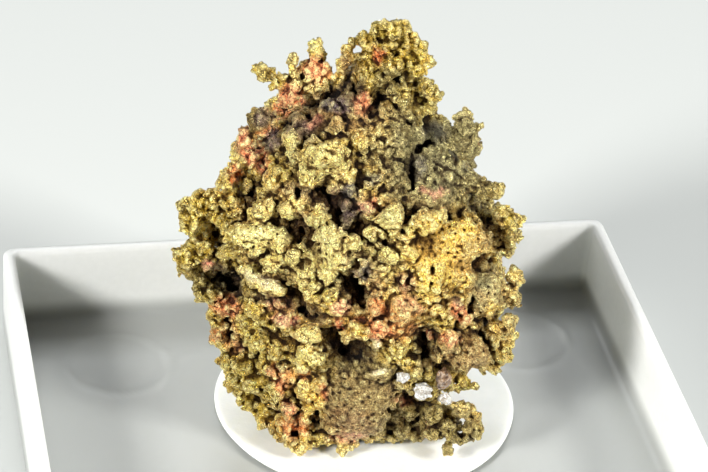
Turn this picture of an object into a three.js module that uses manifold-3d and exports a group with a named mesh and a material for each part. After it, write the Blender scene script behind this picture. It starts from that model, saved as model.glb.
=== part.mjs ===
// A native copper specimen standing on a disc of mineral tack in a shallow white display tray.
// Units are millimetres and +Z is up. The origin is the middle of the tray's underside.
import * as THREE from 'three';
import { mergeVertices } from 'three/addons/utils/BufferGeometryUtils.js';
import { SimplexNoise } from 'three/addons/math/SimplexNoise.js';
import Module from 'manifold-3d';

// ---- Driving dimensions ----
const TRAY_SIDE = 57; // outside width and depth of the square tray
const TRAY_WALL = 1.1;
const TRAY_FLOOR = 1.2;
const TRAY_HEIGHT = 8.2;
const TRAY_CORNER = 1.2; // outside corner radius
const TRAY_INSIDE_CORNER = 0.4;
const TRAY_CORNER_SEGMENTS = 5;
const FOOT_RING_RADIUS = 4.7; // faint round marks moulded in the tray's floor near its corners
const FOOT_RING_OFFSET = 18.8; // from the tray's middle, along X and along Y
const FOOT_RING_WIDTH = 0.35;
const FOOT_RING_RISE = 0.15;
const FOOT_RING_ROOT = 0.3; // how far a ring reaches down into the floor it stands on
const FOOT_RING_SEGMENTS = 14;

const DISC_RADIUS = 13.6;
const DISC_THICKNESS = 0.8;
const DISC_SEGMENTS = 36;
// The disc's pressed edge: how far in from the rim, and the share of the thickness there.
const DISC_EDGE = [[0.25, 0], [0, 0.35], [0.1, 0.75], [0.45, 1]];
const DISC_WOBBLE = 0.008; // share of the radius
const DISC_LOBES = 3;
const DISC_X = 2.3;
const DISC_Y = 10.3;

const GAP = 0.3; // clearance between pieces that touch
const SPECIMEN_TURN = THREE.MathUtils.degToRad(-12.9); // the face turns towards the tray's front left
const FOOT_HEIGHT = GAP; // the specimen's cut foot, above the disc
const TRIM_WIDTH = 80; // the block that cuts the foot flat
const TRIM_HEIGHT = 20;
const WELD_DISTANCE = 1e-4; // vertices closer than this are one

const BODY_TOP = 37.2;
// The body's outline, bottom to top: height, left, right, front and back edge of its section.
// "Across" is the specimen's left to right, "depth" runs away from its face.
const BODY_SECTIONS = [
  [-1.5, -7.0, 1.5, -5.6, 2.0],
  [3, -10.0, 2.6, -8.4, 4.0],
  [5, -11.2, 3.4, -9.0, 5.4],
  [7, -12.0, 7.8, -9.6, 6.2],
  [8.6, -12.4, 10.4, -10.0, 6.8],
  [11, -12.8, 11.0, -10.4, 7.2],
  [15, -13.0, 11.0, -10.5, 7.6],
  [18, -13.0, 10.9, -10.5, 7.8],
  [21, -12.8, 10.3, -10.2, 7.6],
  [24, -12.0, 8.5, -9.2, 7.0],
  [27, -10.6, 6.1, -8.2, 5.6],
  [30, -8.0, 4.0, -7.0, 4.0],
  [33, -4.2, 2.8, -5.6, 1.4],
  [35.5, -2.6, 1.8, -4.0, -0.6],
  [BODY_TOP, -1.4, 0.6, -3.0, -1.4],
];
const SECTION_SQUARENESS = 2.7; // 2 is an ellipse, higher is boxier
const CROWN_START = 32; // from here up the skin turns to face upwards
const CROWN_RISE = 1.6;
const SKIN_COLUMNS = 42;
const SKIN_ROWS = 30;
const FACE_CROWDING = 0.42;
const POLE_WIDTH = 1e-6; // nearer the skin's poles than this a vertex has no angle
const START_INSIDE = 4; // how deep inside the body each line out begins
const LEAST_REACH = 0.5; // how close to that start a hollow may come
const WIDEST_SHARE = 0.985; // of a section's half width, where its front still has a depth
const BODY_UNEVENNESS = [[5, 0.4], [2.2, 0.2]]; // size of the swells and how high they rise
const DEPTH_AXIS = new THREE.Vector3(0, 1, 0);

// Forms on the face are laid out as a viewer sees it, standing in front and a little above:
// across and up on a plane close to the face. A form that lies deeper than that plane sits
// lower by this much for each millimetre of depth.
const DROP_PER_DEPTH = 0.64;

// Lumps: across, up, half width, half height, proud of the body, lean in degrees.
const CROWN = [
  [-3.4, 36.9, 1.2, 1.4, 1.2, 0], [2.2, 36.2, 1.3, 1.5, 1.2, 0], [0.1, 36.6, 1.4, 1.2, 1.2, 0],
  [-1.9, 35.8, 1.4, 1.2, 1.1, 0], [-2.4, 34.0, 1.7, 1.4, 0.8, 0], [1.3, 34.1, 1.4, 1.0, 1.1, 0],
  [3.5, 33.6, 1.4, 1.2, 1.1, 20],
];
const UPPER_LEFT = [
  [-6.2, 35.6, 1.0, 1.2, 0.9, 0], [-5.9, 34.6, 2.1, 1.2, 1.2, -5], [-8.0, 34.6, 1.2, 1.0, 0.9, 0],
  [-8.3, 33.2, 1.4, 1.2, 1.0, 0], [-4.7, 32.8, 1.4, 1.0, 0.7, 0], [-6.9, 31.7, 1.4, 1.0, 0.7, 0],
  [-10.6, 31.1, 1.3, 1.3, 1.0, 30], [-11.8, 29.0, 1.5, 1.4, 1.0, 20], [-9.1, 29.8, 1.2, 1.4, 0.8, 0],
  [-7.4, 29.6, 0.7, 1.9, 1.0, 4], [-10.9, 27.5, 1.5, 1.1, 0.9, 0],
];
const UPPER_CENTRE = [
  [-4.6, 29.2, 2.7, 2.0, 1.6, 0], [-6.0, 27.6, 1.5, 1.3, 1.3, 0], [-2.1, 31.2, 2.1, 1.3, 0.9, 0],
  [-8.8, 26.9, 1.4, 1.5, 1.1, 0], [-2.7, 27.0, 1.3, 1.1, 0.8, 0], [0.7, 28.7, 1.7, 1.3, 0.9, 0],
  [0.2, 26.7, 2.2, 0.9, 1.1, 18], [1.1, 24.6, 1.5, 1.5, 1.6, 0], [4.0, 24.6, 1.6, 1.4, 1.5, 0],
  [2.3, 22.3, 1.2, 1.0, 1.0, 0], [0.7, 21.2, 1.3, 1.0, 0.9, 0],
];
const UPPER_RIGHT = [
  [4.0, 31.4, 2.5, 2.0, 0.7, 0], [5.7, 29.0, 2.4, 2.0, 0.8, 0], [6.9, 31.2, 1.1, 1.7, 0.9, 5],
  [3.5, 28.0, 1.1, 1.4, 0.9, 0], [6.6, 27.0, 1.5, 1.2, 1.0, 0], [1.0, 30.8, 1.3, 1.1, 0.7, 0],
];
const RIGHT_SIDE = [
  [6.6, 23.2, 3.3, 2.6, 1.3, 15], [4.8, 20.4, 2.1, 2.4, 1.1, 0], [7.4, 20.4, 1.8, 1.4, 1.0, 20],
  [7.4, 25.4, 2.3, 1.1, 1.4, 16], [10.0, 24.4, 2.0, 1.8, 1.2, 0], [11.1, 25.6, 1.0, 1.3, 1.1, 25],
  [11.8, 23.2, 0.9, 1.5, 1.0, 5], [9.7, 19.0, 1.8, 2.6, 1.1, -4], [12.0, 20.0, 1.0, 1.4, 0.9, 0],
  [11.7, 17.0, 1.0, 1.4, 0.9, 0], [11.4, 14.2, 1.1, 1.5, 0.9, 0], [6.4, 16.8, 2.0, 0.9, 1.1, -30],
  [8.5, 13.0, 2.6, 2.1, 1.4, 0], [6.6, 14.0, 1.3, 1.6, 1.1, 0],
];
const CENTRE_LEFT = [
  [-10.0, 22.7, 3.1, 1.4, 1.8, 3], [-11.2, 21.0, 2.0, 1.0, 1.4, 0], [-9.6, 24.8, 1.9, 1.0, 1.3, 0],
  [-7.4, 25.2, 1.1, 1.2, 1.0, 0], [-9.3, 18.6, 2.6, 1.2, 1.5, -26], [-7.6, 21.0, 1.5, 1.2, 1.2, 0],
  [-4.7, 24.2, 1.2, 1.4, 1.4, 0], [-3.6, 22.3, 1.9, 1.4, 1.7, 10], [-1.2, 22.9, 1.3, 0.8, 1.2, 25],
  [-3.7, 20.3, 1.5, 1.3, 1.5, 0], [-5.6, 19.4, 1.5, 1.5, 1.2, 0], [-3.4, 17.7, 1.2, 1.3, 1.2, 0],
];
const LEFT_EDGE = [
  [-13.0, 24.8, 1.5, 1.3, 1.0, 0], [-13.9, 21.1, 1.9, 0.9, 1.2, 12], [-13.6, 17.3, 1.1, 1.3, 0.9, 0],
  [-12.0, 15.3, 1.5, 1.3, 1.0, 0], [-9.8, 15.8, 1.5, 1.1, 1.0, 0], [-12.1, 12.6, 1.3, 1.4, 0.8, 0],
  [-9.8, 13.4, 1.6, 1.3, 1.0, 0], [-7.4, 14.4, 1.4, 1.1, 1.0, 0], [-7.7, 12.2, 1.3, 1.2, 0.9, 0],
];
const LOWER_LEFT = [
  [-5.3, 13.4, 1.1, 1.2, 1.4, 0], [-5.0, 11.3, 1.5, 1.1, 1.5, 0], [-7.4, 9.7, 1.5, 1.1, 1.0, 0],
  [-11.3, 9.4, 1.2, 1.5, 0.8, 10], [-9.6, 7.3, 1.5, 1.3, 0.9, 0], [-9.6, 5.0, 1.3, 1.5, 0.8, 15],
  [-7.4, 7.2, 1.2, 1.1, 1.0, 0], [-6.6, 4.9, 1.3, 1.1, 1.3, 0], [-7.2, 2.0, 1.4, 1.2, 0.9, 0],
  [-5.3, 0.7, 1.2, 1.0, 1.1, 0], [-4.8, 5.8, 0.8, 2.2, 0.9, 0],
];
const APRON = [
  [-0.6, 6.4, 3.7, 4.7, 1.6, 0], [-2.7, 2.0, 2.0, 1.5, 1.3, 0], [1.4, 9.9, 1.7, 1.2, 1.3, 0],
  [-1.2, 14.5, 1.7, 1.2, 1.1, 0], [2.5, 13.2, 1.4, 1.4, 1.0, 0], [1.8, 16.3, 1.5, 1.6, 0.9, 0],
  [4.2, 10.6, 0.6, 1.3, 1.3, 0],
];
// The small branching growth beside the foot stands on the disc by itself.
const FOOT_CLUSTER = [
  [3.0, 2.6, 1.4, 1.4, 1.1, 0], [4.9, 1.9, 1.2, 1.0, 1.2, 0], [6.2, 4.9, 1.5, 1.3, 1.4, 0],
  [7.4, 3.2, 1.6, 1.5, 1.6, 0], [7.4, 1.0, 0.9, 0.9, 1.4, 0], [9.2, 4.4, 1.3, 1.1, 1.2, 0],
  [10.4, 3.6, 1.1, 1.1, 1.1, 20], [9.0, 2.2, 1.1, 1.0, 1.3, 0], [3.9, 5.9, 1.3, 1.0, 0.9, 0],
];
// What the small growth hangs from, as beads: across, depth, height, radius.
const FOOT_STEM = [
  [3.6, -5.6, 3.2, 2.6], [6.4, -6.4, 3.0, 2.2], [5.2, -5.4, 7.0, 2.6],
];
// Sprigs that stand clear of the edge, as beads along a bent stalk.
const SPRIGS = [
  [[-0.4, -2.6, 37.2, 1.7], [-0.4, -2.4, 38.4, 1.1], [-0.1, -2.2, 39.1, 0.7]],
  [[-2.0, -2.6, 37.0, 1.4], [-2.6, -2.4, 37.9, 0.9], [-3.5, -2.4, 36.8, 0.8]],
  [[1.6, -2.4, 36.4, 1.6], [1.6, -2.2, 37.7, 1.0]],
  [[-8.2, -3.6, 32.6, 1.6], [-9.3, -3.8, 34.2, 0.8], [-10.3, -4.0, 34.8, 0.7]],
  [[-7.6, -3.2, 33.6, 1.3], [-8.1, -3.4, 35.2, 0.5], [-8.0, -3.4, 36.3, 0.5]],
  [[-5.9, -3.0, 33.8, 1.7], [-6.2, -3.0, 35.2, 0.9], [-6.1, -3.0, 36.2, 0.7]],
  [[3.4, -2.8, 33.2, 1.2], [4.4, -3.0, 33.9, 0.6]],
  [[6.4, -4.4, 30.2, 1.7], [7.2, -4.4, 29.2, 1.5], [6.6, -4.4, 31.8, 0.8]],
  [[7.2, -4.4, 25.9, 1.5], [8.7, -4.6, 25.8, 1.0], [9.6, -4.8, 25.6, 0.9]],
  [[-12.6, -5.4, 21.4, 1.6], [-14.4, -5.8, 22.0, 1.3], [-15.9, -6.2, 21.2, 1.0]],
  [[-12.6, -5.6, 17.6, 1.5], [-14.4, -6.0, 17.4, 1.2], [-15.6, -6.2, 16.6, 0.9]],
  [[-14.6, -5.8, 18.8, 1.3], [-15.9, -6.2, 17.8, 0.9]],
  [[-12.6, -5.8, 13.4, 1.5], [-13.8, -6.2, 15.2, 1.3]],
  [[10.8, -5.0, 15.2, 1.6], [11.6, -5.4, 16.6, 1.1]],
  [[10.2, -6.8, 11.0, 1.6], [11.2, -6.6, 12.8, 1.3]],
  [[-10.4, -4.0, 26.2, 1.7], [-11.9, -4.4, 25.4, 1.3]],
  [[8.4, -8.0, 2.6, 1.3], [9.5, -8.2, 3.6, 1.0], [9.9, -8.2, 4.8, 0.6]],
  [[-5.4, -7.2, 2.4, 2.1], [-5.2, -9.0, 1.3, 1.3]],
  [[-2.2, -7.0, 2.2, 2.0], [-1.8, -8.2, 1.3, 1.2]],
  [[-7.6, -5.4, 2.6, 2.0], [-7.0, -7.0, 1.6, 1.3]],
  [[0.8, -6.2, 1.8, 1.5]],
  [[11.0, -5.8, 10.0, 1.3], [11.8, -5.4, 11.2, 1.0]],
  [[7.8, -6.6, 6.6, 0.9], [9.0, -7.0, 7.0, 0.6]],
];

// Hollows: across, up, half width, half height, depth, lean in degrees.
const HOLLOWS = [
  [-11.0, 26.2, 1.1, 0.9, 2.4, 0], [-6.3, 23.4, 0.8, 1.1, 2.2, 0], [-12.3, 18.6, 0.9, 2.2, 3.0, 34],
  [-4.4, 26.0, 1.0, 0.9, 2.4, 0], [-2.9, 24.6, 0.8, 1.2, 2.4, -15], [-1.2, 18.2, 1.4, 2.3, 3.6, 0],
  [0.6, 22.9, 1.1, 0.7, 2.2, -8], [-6.0, 16.3, 1.5, 0.8, 2.4, -35], [-1.9, 12.2, 2.0, 1.1, 3.2, -6],
  [4.9, 12.8, 0.6, 2.5, 3.4, -4], [3.3, 30.8, 0.8, 0.5, 2.2, 30], [2.4, 27.9, 0.5, 1.9, 2.2, 3],
  [5.6, 25.8, 0.9, 0.6, 2.2, -20], [9.8, 21.9, 1.8, 0.4, 2.2, 12], [-0.1, 33.2, 1.0, 0.9, 2.2, 0],
  [4.3, 4.3, 0.8, 0.7, 2.4, 0], [-3.6, 4.3, 0.5, 1.2, 1.6, 0], [8.2, 17.2, 0.5, 1.7, 2.2, 16],
  [-6.3, 33.2, 1.3, 0.5, 2.0, 0], [-9.4, 10.9, 0.6, 1.2, 1.8, 20],
];
// Holes that go right through, front to back: across, depth, height, radius, half length.
const THROUGH_HOLES = [
  [-13.9, -6.0, 15.6, 0.5, 4.0], [9.0, -4.0, 24.2, 0.55, 4.0], [-2.6, -2.0, 36.4, 0.35, 3.0],
];
const HOLE_WIDENING = 1.2; // towards the back
const HOLE_SIDES = 7;
const LUMP_MAX_DEPTH = 1.7;
const ROUNDER_FROM = 4.3; // half width plus half height
const STANDS_OUT_FROM = 1.1; // a lump this proud is a crisp solid on top of the skin
const LUMP_UNEVENNESS = 0.16;
const NOISE_SPAN = 50; // each lump takes its unevenness from its own place in this span

// The sides and back carry the same kind of lumps and hollows, scattered without a pattern.
const BACK_LUMPS = 46;
const BACK_LUMP_SIZE = [1.3, 2.4];
const BACK_LUMP_WIDTHS = [0.8, 1.3]; // shares of its size
const BACK_LUMP_HEIGHTS = [0.7, 1.2];
const BACK_LUMP_SUNK = [0.3, 0.6];
const BACK_HOLLOWS = 14;
const BACK_HOLLOW_SIZE = [0.9, 1.6];
const BACK_HOLLOW_HEIGHTS = [0.6, 1.3];
const BACK_HOLLOW_OUT = 0.6;
const BACK_HEIGHTS = [2, 37];
const BACK_ANGLES = [-4, 184]; // degrees round from the right-hand side
const BACK_LEANS = [-40, 40];
const SCATTER_SEED = 29;

// Quartz grains caught in the copper: name, across, depth, height, half sizes, colour.
const QUARTZ_GRAINS = [
  ['quartz_grain_large', 4.9, -9.1, 7.6, [0.95, 0.7, 0.85], 0xf1f1ee],
  ['quartz_grain_small', 7.0, -8.6, 6.6, [0.65, 0.6, 0.6], 0xe9ebea],
  ['quartz_grain_upper', 3.2, -10.2, 9.7, [0.8, 0.5, 0.45], 0xf0efe9],
  ['quartz_prism_brown', 6.7, -8.7, 9.0, [0.75, 0.7, 1.35], 0x8d7b62],
];
const GRAIN_TILT = 0.4; // radians

const wasm = await Module();
wasm.setup();
const { Manifold, Mesh } = wasm;

const random = THREE.MathUtils.seededRandom;
random(SCATTER_SEED);
const between = (low, high) => low + (high - low) * random();
const noise = new SimplexNoise({ random: () => random() });

// ---- Solids from geometry ----
function solidFrom(geometry) {
  const bare = geometry.index ? geometry.toNonIndexed() : geometry.clone();
  bare.deleteAttribute('normal');
  bare.deleteAttribute('uv');
  const merged = mergeVertices(bare, WELD_DISTANCE);
  return new Manifold(new Mesh({
    numProp: 3,
    vertProperties: merged.attributes.position.array,
    triVerts: merged.index.array,
  }));
}

function geometryFrom(solid) {
  const mesh = solid.getMesh();
  const geometry = new THREE.BufferGeometry();
  geometry.setAttribute('position', new THREE.BufferAttribute(mesh.vertProperties, 3));
  geometry.setIndex(new THREE.BufferAttribute(mesh.triVerts, 1));
  return geometry;
}

function moveVertices(geometry, move) {
  const position = geometry.attributes.position;
  const point = new THREE.Vector3();
  for (let i = 0; i < position.count; i += 1) {
    point.fromBufferAttribute(position, i);
    move(point);
    position.setXYZ(i, point.x, point.y, point.z);
  }
  return geometry;
}

// ---- The copper's body ----
function sectionAt(height) {
  const last = BODY_SECTIONS.length - 1;
  const found = BODY_SECTIONS.findIndex((row) => row[0] > height);
  const upper = found === -1 ? last : Math.max(found, 1);
  const [low, high] = [BODY_SECTIONS[upper - 1], BODY_SECTIONS[upper]];
  const t = THREE.MathUtils.clamp((height - low[0]) / (high[0] - low[0]), 0, 1);
  const [, left, right, front, back] = low.map((value, i) => THREE.MathUtils.lerp(value, high[i], t));
  return {
    middle: new THREE.Vector3((left + right) / 2, (front + back) / 2, height),
    halfWidth: (right - left) / 2,
    halfDepth: (back - front) / 2,
  };
}

// How full a section is in depth at a share of its half width.
function swellAt(share) {
  const reach = Math.min(Math.abs(share), 1);
  return (1 - reach ** SECTION_SQUARENESS) ** (1 / SECTION_SQUARENESS);
}

function edgePoint(height, angle) {
  const { middle, halfWidth, halfDepth } = sectionAt(height);
  const share = Math.cos(angle);
  const depthShare = Math.sign(Math.sin(angle)) * swellAt(share);
  return new THREE.Vector3(share * halfWidth, depthShare * halfDepth, 0).add(middle);
}

// The way out of the body: half way between its section's normal and a line from its middle,
// turning upwards over the crown.
function outwardAt(height, angle) {
  const { middle, halfWidth, halfDepth } = sectionAt(height);
  const share = Math.cos(angle);
  const depthShare = Math.sign(Math.sin(angle)) * swellAt(share);
  const normal = new THREE.Vector3(
    Math.sign(share) * Math.abs(share) ** (SECTION_SQUARENESS - 1) / halfWidth,
    Math.sign(depthShare) * Math.abs(depthShare) ** (SECTION_SQUARENESS - 1) / halfDepth,
    0,
  ).normalize();
  const radial = edgePoint(height, angle).sub(middle).normalize();
  const rise = THREE.MathUtils.smoothstep(height, CROWN_START, BODY_TOP) * CROWN_RISE;
  return normal.add(radial).normalize().add(new THREE.Vector3(0, 0, rise)).normalize();
}

// Where a straight line enters and leaves a lump or a hollow, as distances from its start.
function crossing(start, direction, { centre, half, lean }) {
  const turn = THREE.MathUtils.degToRad(lean);
  const from = start.clone().sub(centre).applyAxisAngle(DEPTH_AXIS, turn).divide(half);
  const along = direction.clone().applyAxisAngle(DEPTH_AXIS, turn).divide(half);
  const a = along.lengthSq();
  const b = from.dot(along);
  const root = b * b - a * (from.lengthSq() - 1);
  if (root <= 0) return null;
  return [(-b - Math.sqrt(root)) / a, (-b + Math.sqrt(root)) / a];
}

// The skin's columns stand closer together on the face than on the back.
function skinAngle(turned) {
  return turned + FACE_CROWDING * Math.sin(turned + Math.PI / 2);
}

// One closed skin: each vertex starts on the body's section, goes out over the lumps there
// and back in where a hollow lies.
function bodySolid(lumps, hollows) {
  const ball = new THREE.SphereGeometry(1, SKIN_COLUMNS, SKIN_ROWS);
  ball.rotateX(Math.PI / 2);
  return solidFrom(moveVertices(ball, (point) => {
    const polar = Math.acos(THREE.MathUtils.clamp(point.z, -1, 1)) / Math.PI;
    const height = THREE.MathUtils.lerp(BODY_TOP, BODY_SECTIONS[0][0], polar);
    if (Math.hypot(point.x, point.y) < POLE_WIDTH) {
      point.copy(sectionAt(height).middle);
      return;
    }
    const angle = skinAngle(Math.atan2(point.y, point.x));
    const outward = outwardAt(height, angle);
    const start = edgePoint(height, angle).addScaledVector(outward, -START_INSIDE);
    let reach = START_INSIDE;
    BODY_UNEVENNESS.forEach(([size, rise]) => {
      reach += rise * noise.noise3d(start.x / size, start.y / size, height / size);
    });
    lumps.forEach((lump) => {
      const hit = crossing(start, outward, lump);
      if (hit && hit[0] < START_INSIDE) reach = Math.max(reach, hit[1]);
    });
    hollows.forEach((hollow) => {
      const hit = crossing(start, outward, hollow);
      if (hit && hit[1] > reach) reach = Math.min(reach, Math.max(hit[0], LEAST_REACH));
    });
    point.copy(start).addScaledVector(outward, reach);
  }));
}

// How deep the body's front lies at a place across and a height.
function frontDepth(across, height) {
  const { middle, halfWidth, halfDepth } = sectionAt(height);
  const share = Math.min(Math.abs((across - middle.x) / halfWidth), WIDEST_SHARE);
  return middle.y - swellAt(share) * halfDepth;
}

const LAYOUT_PLANE = [[0, -8.5], [5, -9], [12, -10.5], [20, -10.5], [28, -8], [36, -4], [43, -1]];

function layoutDepth(up) {
  const upper = Math.max(LAYOUT_PLANE.findIndex((row) => row[0] > up), 1);
  const [low, high] = [LAYOUT_PLANE[upper - 1], LAYOUT_PLANE[upper]];
  return THREE.MathUtils.mapLinear(up, low[0], high[0], low[1], high[1]);
}

const SIGHT_LINE_STEPS = 24;

// The point of the body's surface that a place in the layout falls on, found by halving the error.
function onFace(across, up) {
  let behind = 0;
  for (let step = 0; step < SIGHT_LINE_STEPS; step += 1) {
    const height = up - DROP_PER_DEPTH * behind;
    const error = frontDepth(across, height) - (layoutDepth(up) + behind);
    behind += 0.5 * error;
  }
  return new THREE.Vector3(across, layoutDepth(up) + behind, up - DROP_PER_DEPTH * behind);
}

function faceLump([across, up, halfWidth, halfHeight, proud, lean]) {
  const halfDepth = Math.min((halfWidth + halfHeight) / 2, LUMP_MAX_DEPTH);
  const centre = onFace(across, up);
  const sink = halfDepth - proud;
  centre.y += sink;
  centre.z -= DROP_PER_DEPTH * sink;
  return { centre, half: new THREE.Vector3(halfWidth, halfDepth, halfHeight), lean, proud };
}

function faceHollow([across, up, halfWidth, halfHeight, depth, lean]) {
  return { centre: onFace(across, up), half: new THREE.Vector3(halfWidth, depth, halfHeight), lean };
}

// An uneven lump: small ones are plain crystals of twenty faces, large ones are rounder.
function lumpSolid({ centre, half, lean }) {
  const detail = half.x + half.z > ROUNDER_FROM ? 1 : 0;
  const anywhere = () => between(0, NOISE_SPAN);
  const shift = new THREE.Vector3(anywhere(), anywhere(), anywhere());
  const anyAngle = () => between(0, 2 * Math.PI);
  const turn = new THREE.Quaternion().setFromEuler(new THREE.Euler(anyAngle(), anyAngle(), anyAngle()));
  const geometry = moveVertices(new THREE.IcosahedronGeometry(1, detail), (point) => {
    point.applyQuaternion(turn);
    const bump = noise.noise3d(point.x + shift.x, point.y + shift.y, point.z + shift.z);
    point.multiplyScalar(1 + LUMP_UNEVENNESS * bump);
    point.multiply(half);
  });
  geometry.rotateY(-THREE.MathUtils.degToRad(lean));
  geometry.translate(centre.x, centre.y, centre.z);
  return solidFrom(geometry);
}

function bead([across, depth, height, radius]) {
  const half = new THREE.Vector3(radius, radius, radius);
  return lumpSolid({ centre: new THREE.Vector3(across, depth, height), half, lean: 0 });
}

function throughHole([across, depth, height, radius, halfLength]) {
  const hole = new THREE.CylinderGeometry(radius, radius * HOLE_WIDENING, halfLength * 2, HOLE_SIDES);
  hole.translate(across, depth, height);
  return solidFrom(hole);
}

// Something set on the sides or the back, this far out of the body.
function sideOrBack(half, out) {
  const height = between(...BACK_HEIGHTS);
  const angle = THREE.MathUtils.degToRad(between(...BACK_ANGLES));
  const centre = edgePoint(height, angle).addScaledVector(outwardAt(height, angle), out);
  return { centre, half, lean: between(...BACK_LEANS) };
}

function backLump() {
  const size = between(...BACK_LUMP_SIZE);
  const half = new THREE.Vector3(
    size * between(...BACK_LUMP_WIDTHS), size, size * between(...BACK_LUMP_HEIGHTS),
  );
  return sideOrBack(half, -size * between(...BACK_LUMP_SUNK));
}

function backHollow() {
  const size = between(...BACK_HOLLOW_SIZE);
  const half = new THREE.Vector3(size, size, size * between(...BACK_HOLLOW_HEIGHTS));
  return sideOrBack(half, BACK_HOLLOW_OUT);
}

function quartzSolid(across, depth, height, half, grown) {
  const grain = new THREE.DodecahedronGeometry(1, 0);
  grain.rotateX(GRAIN_TILT);
  grain.rotateZ(across);
  grain.scale(half[0] + grown, half[1] + grown, half[2] + grown);
  grain.translate(across, depth, height);
  return solidFrom(grain);
}

function repeated(count, make) {
  return Array.from({ length: count }, () => make());
}

function biggestBody(solid) {
  return solid.decompose().reduce((best, body) => (body.volume() > best.volume() ? body : best));
}

function copperSolid() {
  const lumps = [
    CROWN, UPPER_LEFT, UPPER_CENTRE, UPPER_RIGHT, RIGHT_SIDE, CENTRE_LEFT, LEFT_EDGE, LOWER_LEFT, APRON,
  ].flat().map(faceLump);
  const standing = lumps.filter((lump) => lump.proud >= STANDS_OUT_FROM);
  const low = lumps.filter((lump) => lump.proud < STANDS_OUT_FROM);
  const body = bodySolid(
    [...low, ...repeated(BACK_LUMPS, backLump)],
    [...HOLLOWS.map(faceHollow), ...repeated(BACK_HOLLOWS, backHollow)],
  );
  const grown = Manifold.union([
    body,
    ...standing.map(lumpSolid),
    ...FOOT_CLUSTER.map(faceLump).map(lumpSolid),
    ...FOOT_STEM.map(bead),
    ...SPRIGS.flat().map(bead),
  ]);
  const belowFoot = new THREE.BoxGeometry(TRIM_WIDTH, TRIM_WIDTH, TRIM_HEIGHT);
  belowFoot.translate(0, 0, FOOT_HEIGHT - TRIM_HEIGHT / 2);
  const cut = grown.subtract(Manifold.union([
    ...THROUGH_HOLES.map(throughHole),
    ...QUARTZ_GRAINS.map(([, across, depth, height, half]) => quartzSolid(across, depth, height, half, GAP)),
    solidFrom(belowFoot),
  ]));
  return biggestBody(cut);
}

// ---- Materials ----
const traySurface = new THREE.MeshStandardMaterial({ color: 0xf3f5f4, roughness: 0.35, metalness: 0 });
const tackSurface = new THREE.MeshStandardMaterial({ color: 0xf7f8ee, roughness: 0.75, metalness: 0 });
const copperSurface = new THREE.MeshStandardMaterial({ color: 0xa08a3c, roughness: 0.4, metalness: 0.9 });

// ---- The tray and the disc ----
function roundedSquare(side, radius) {
  const reach = side / 2 - radius;
  const shape = new THREE.Shape();
  shape.absarc(reach, reach, radius, 0, Math.PI / 2);
  shape.absarc(-reach, reach, radius, Math.PI / 2, Math.PI);
  shape.absarc(-reach, -reach, radius, Math.PI, Math.PI * 1.5);
  shape.absarc(reach, -reach, radius, Math.PI * 1.5, Math.PI * 2);
  shape.closePath();
  return shape;
}

function floorRing(x, y) {
  const inner = FOOT_RING_RADIUS - FOOT_RING_WIDTH / 2;
  const outer = FOOT_RING_RADIUS + FOOT_RING_WIDTH / 2;
  const low = TRAY_FLOOR - FOOT_RING_ROOT;
  const high = TRAY_FLOOR + FOOT_RING_RISE;
  const profile = [[inner, low], [outer, low], [outer, high], [inner, high], [inner, low]];
  const points = profile.map(([r, h]) => new THREE.Vector2(r, h));
  const ring = new THREE.LatheGeometry(points, FOOT_RING_SEGMENTS);
  ring.rotateX(Math.PI / 2);
  ring.translate(x, y, 0);
  return solidFrom(ring);
}

function traySolid() {
  const flat = { bevelEnabled: false, curveSegments: TRAY_CORNER_SEGMENTS };
  const outside = new THREE.ExtrudeGeometry(
    roundedSquare(TRAY_SIDE, TRAY_CORNER), { depth: TRAY_HEIGHT, ...flat },
  );
  const inside = new THREE.ExtrudeGeometry(
    roundedSquare(TRAY_SIDE - 2 * TRAY_WALL, TRAY_INSIDE_CORNER), { depth: TRAY_HEIGHT, ...flat },
  ).translate(0, 0, TRAY_FLOOR);
  const rings = [[1, 1], [-1, 1], [-1, -1], [1, -1]]
    .map(([x, y]) => floorRing(x * FOOT_RING_OFFSET, y * FOOT_RING_OFFSET));
  return solidFrom(outside).subtract(solidFrom(inside)).add(Manifold.union(rings));
}

// The disc is pressed by hand: round-edged, a little uneven in outline.
function discGeometry() {
  const top = DISC_THICKNESS - GAP;
  const profile = [
    [0, 0], ...DISC_EDGE.map(([inset, share]) => [DISC_RADIUS - inset, top * share]), [0, top],
  ].map(([r, h]) => new THREE.Vector2(r, h));
  const disc = new THREE.LatheGeometry(profile, DISC_SEGMENTS);
  disc.rotateX(Math.PI / 2);
  moveVertices(disc, (point) => {
    const wobble = 1 + DISC_WOBBLE * Math.sin(DISC_LOBES * Math.atan2(point.y, point.x) + 1);
    point.x *= wobble;
    point.y *= wobble;
  });
  return geometryFrom(solidFrom(disc));
}

// ---- The scene graph ----
const group = new THREE.Group();

function addMesh(parent, name, geometry, material) {
  const mesh = new THREE.Mesh(geometry, material);
  mesh.name = name;
  parent.add(mesh);
  return mesh;
}

addMesh(group, 'display_tray', geometryFrom(traySolid()), traySurface);
const disc = addMesh(group, 'tack_disc', discGeometry(), tackSurface);
disc.position.set(DISC_X, DISC_Y, TRAY_FLOOR + GAP);

const specimen = new THREE.Group();
specimen.position.set(DISC_X, DISC_Y, TRAY_FLOOR + DISC_THICKNESS);
specimen.rotation.z = SPECIMEN_TURN;
group.add(specimen);
addMesh(specimen, 'native_copper', geometryFrom(copperSolid()), copperSurface);
QUARTZ_GRAINS.forEach(([name, across, depth, height, half, color]) => {
  const surface = new THREE.MeshStandardMaterial({ color, roughness: 0.2, metalness: 0 });
  addMesh(specimen, name, geometryFrom(quartzSolid(across, depth, height, half, 0)), surface);
});

export default group;
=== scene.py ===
"""The looks of a native copper specimen on its tack disc in a white display tray.

Blender 4.5. Every Blender object is in metres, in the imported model's frame. The copper is shaped
in millimetres in the specimen's own frame: across (to the right of its face), depth (away from
the viewer) and height (above the disc).
"""
import math
from concurrent.futures import ThreadPoolExecutor

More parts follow.
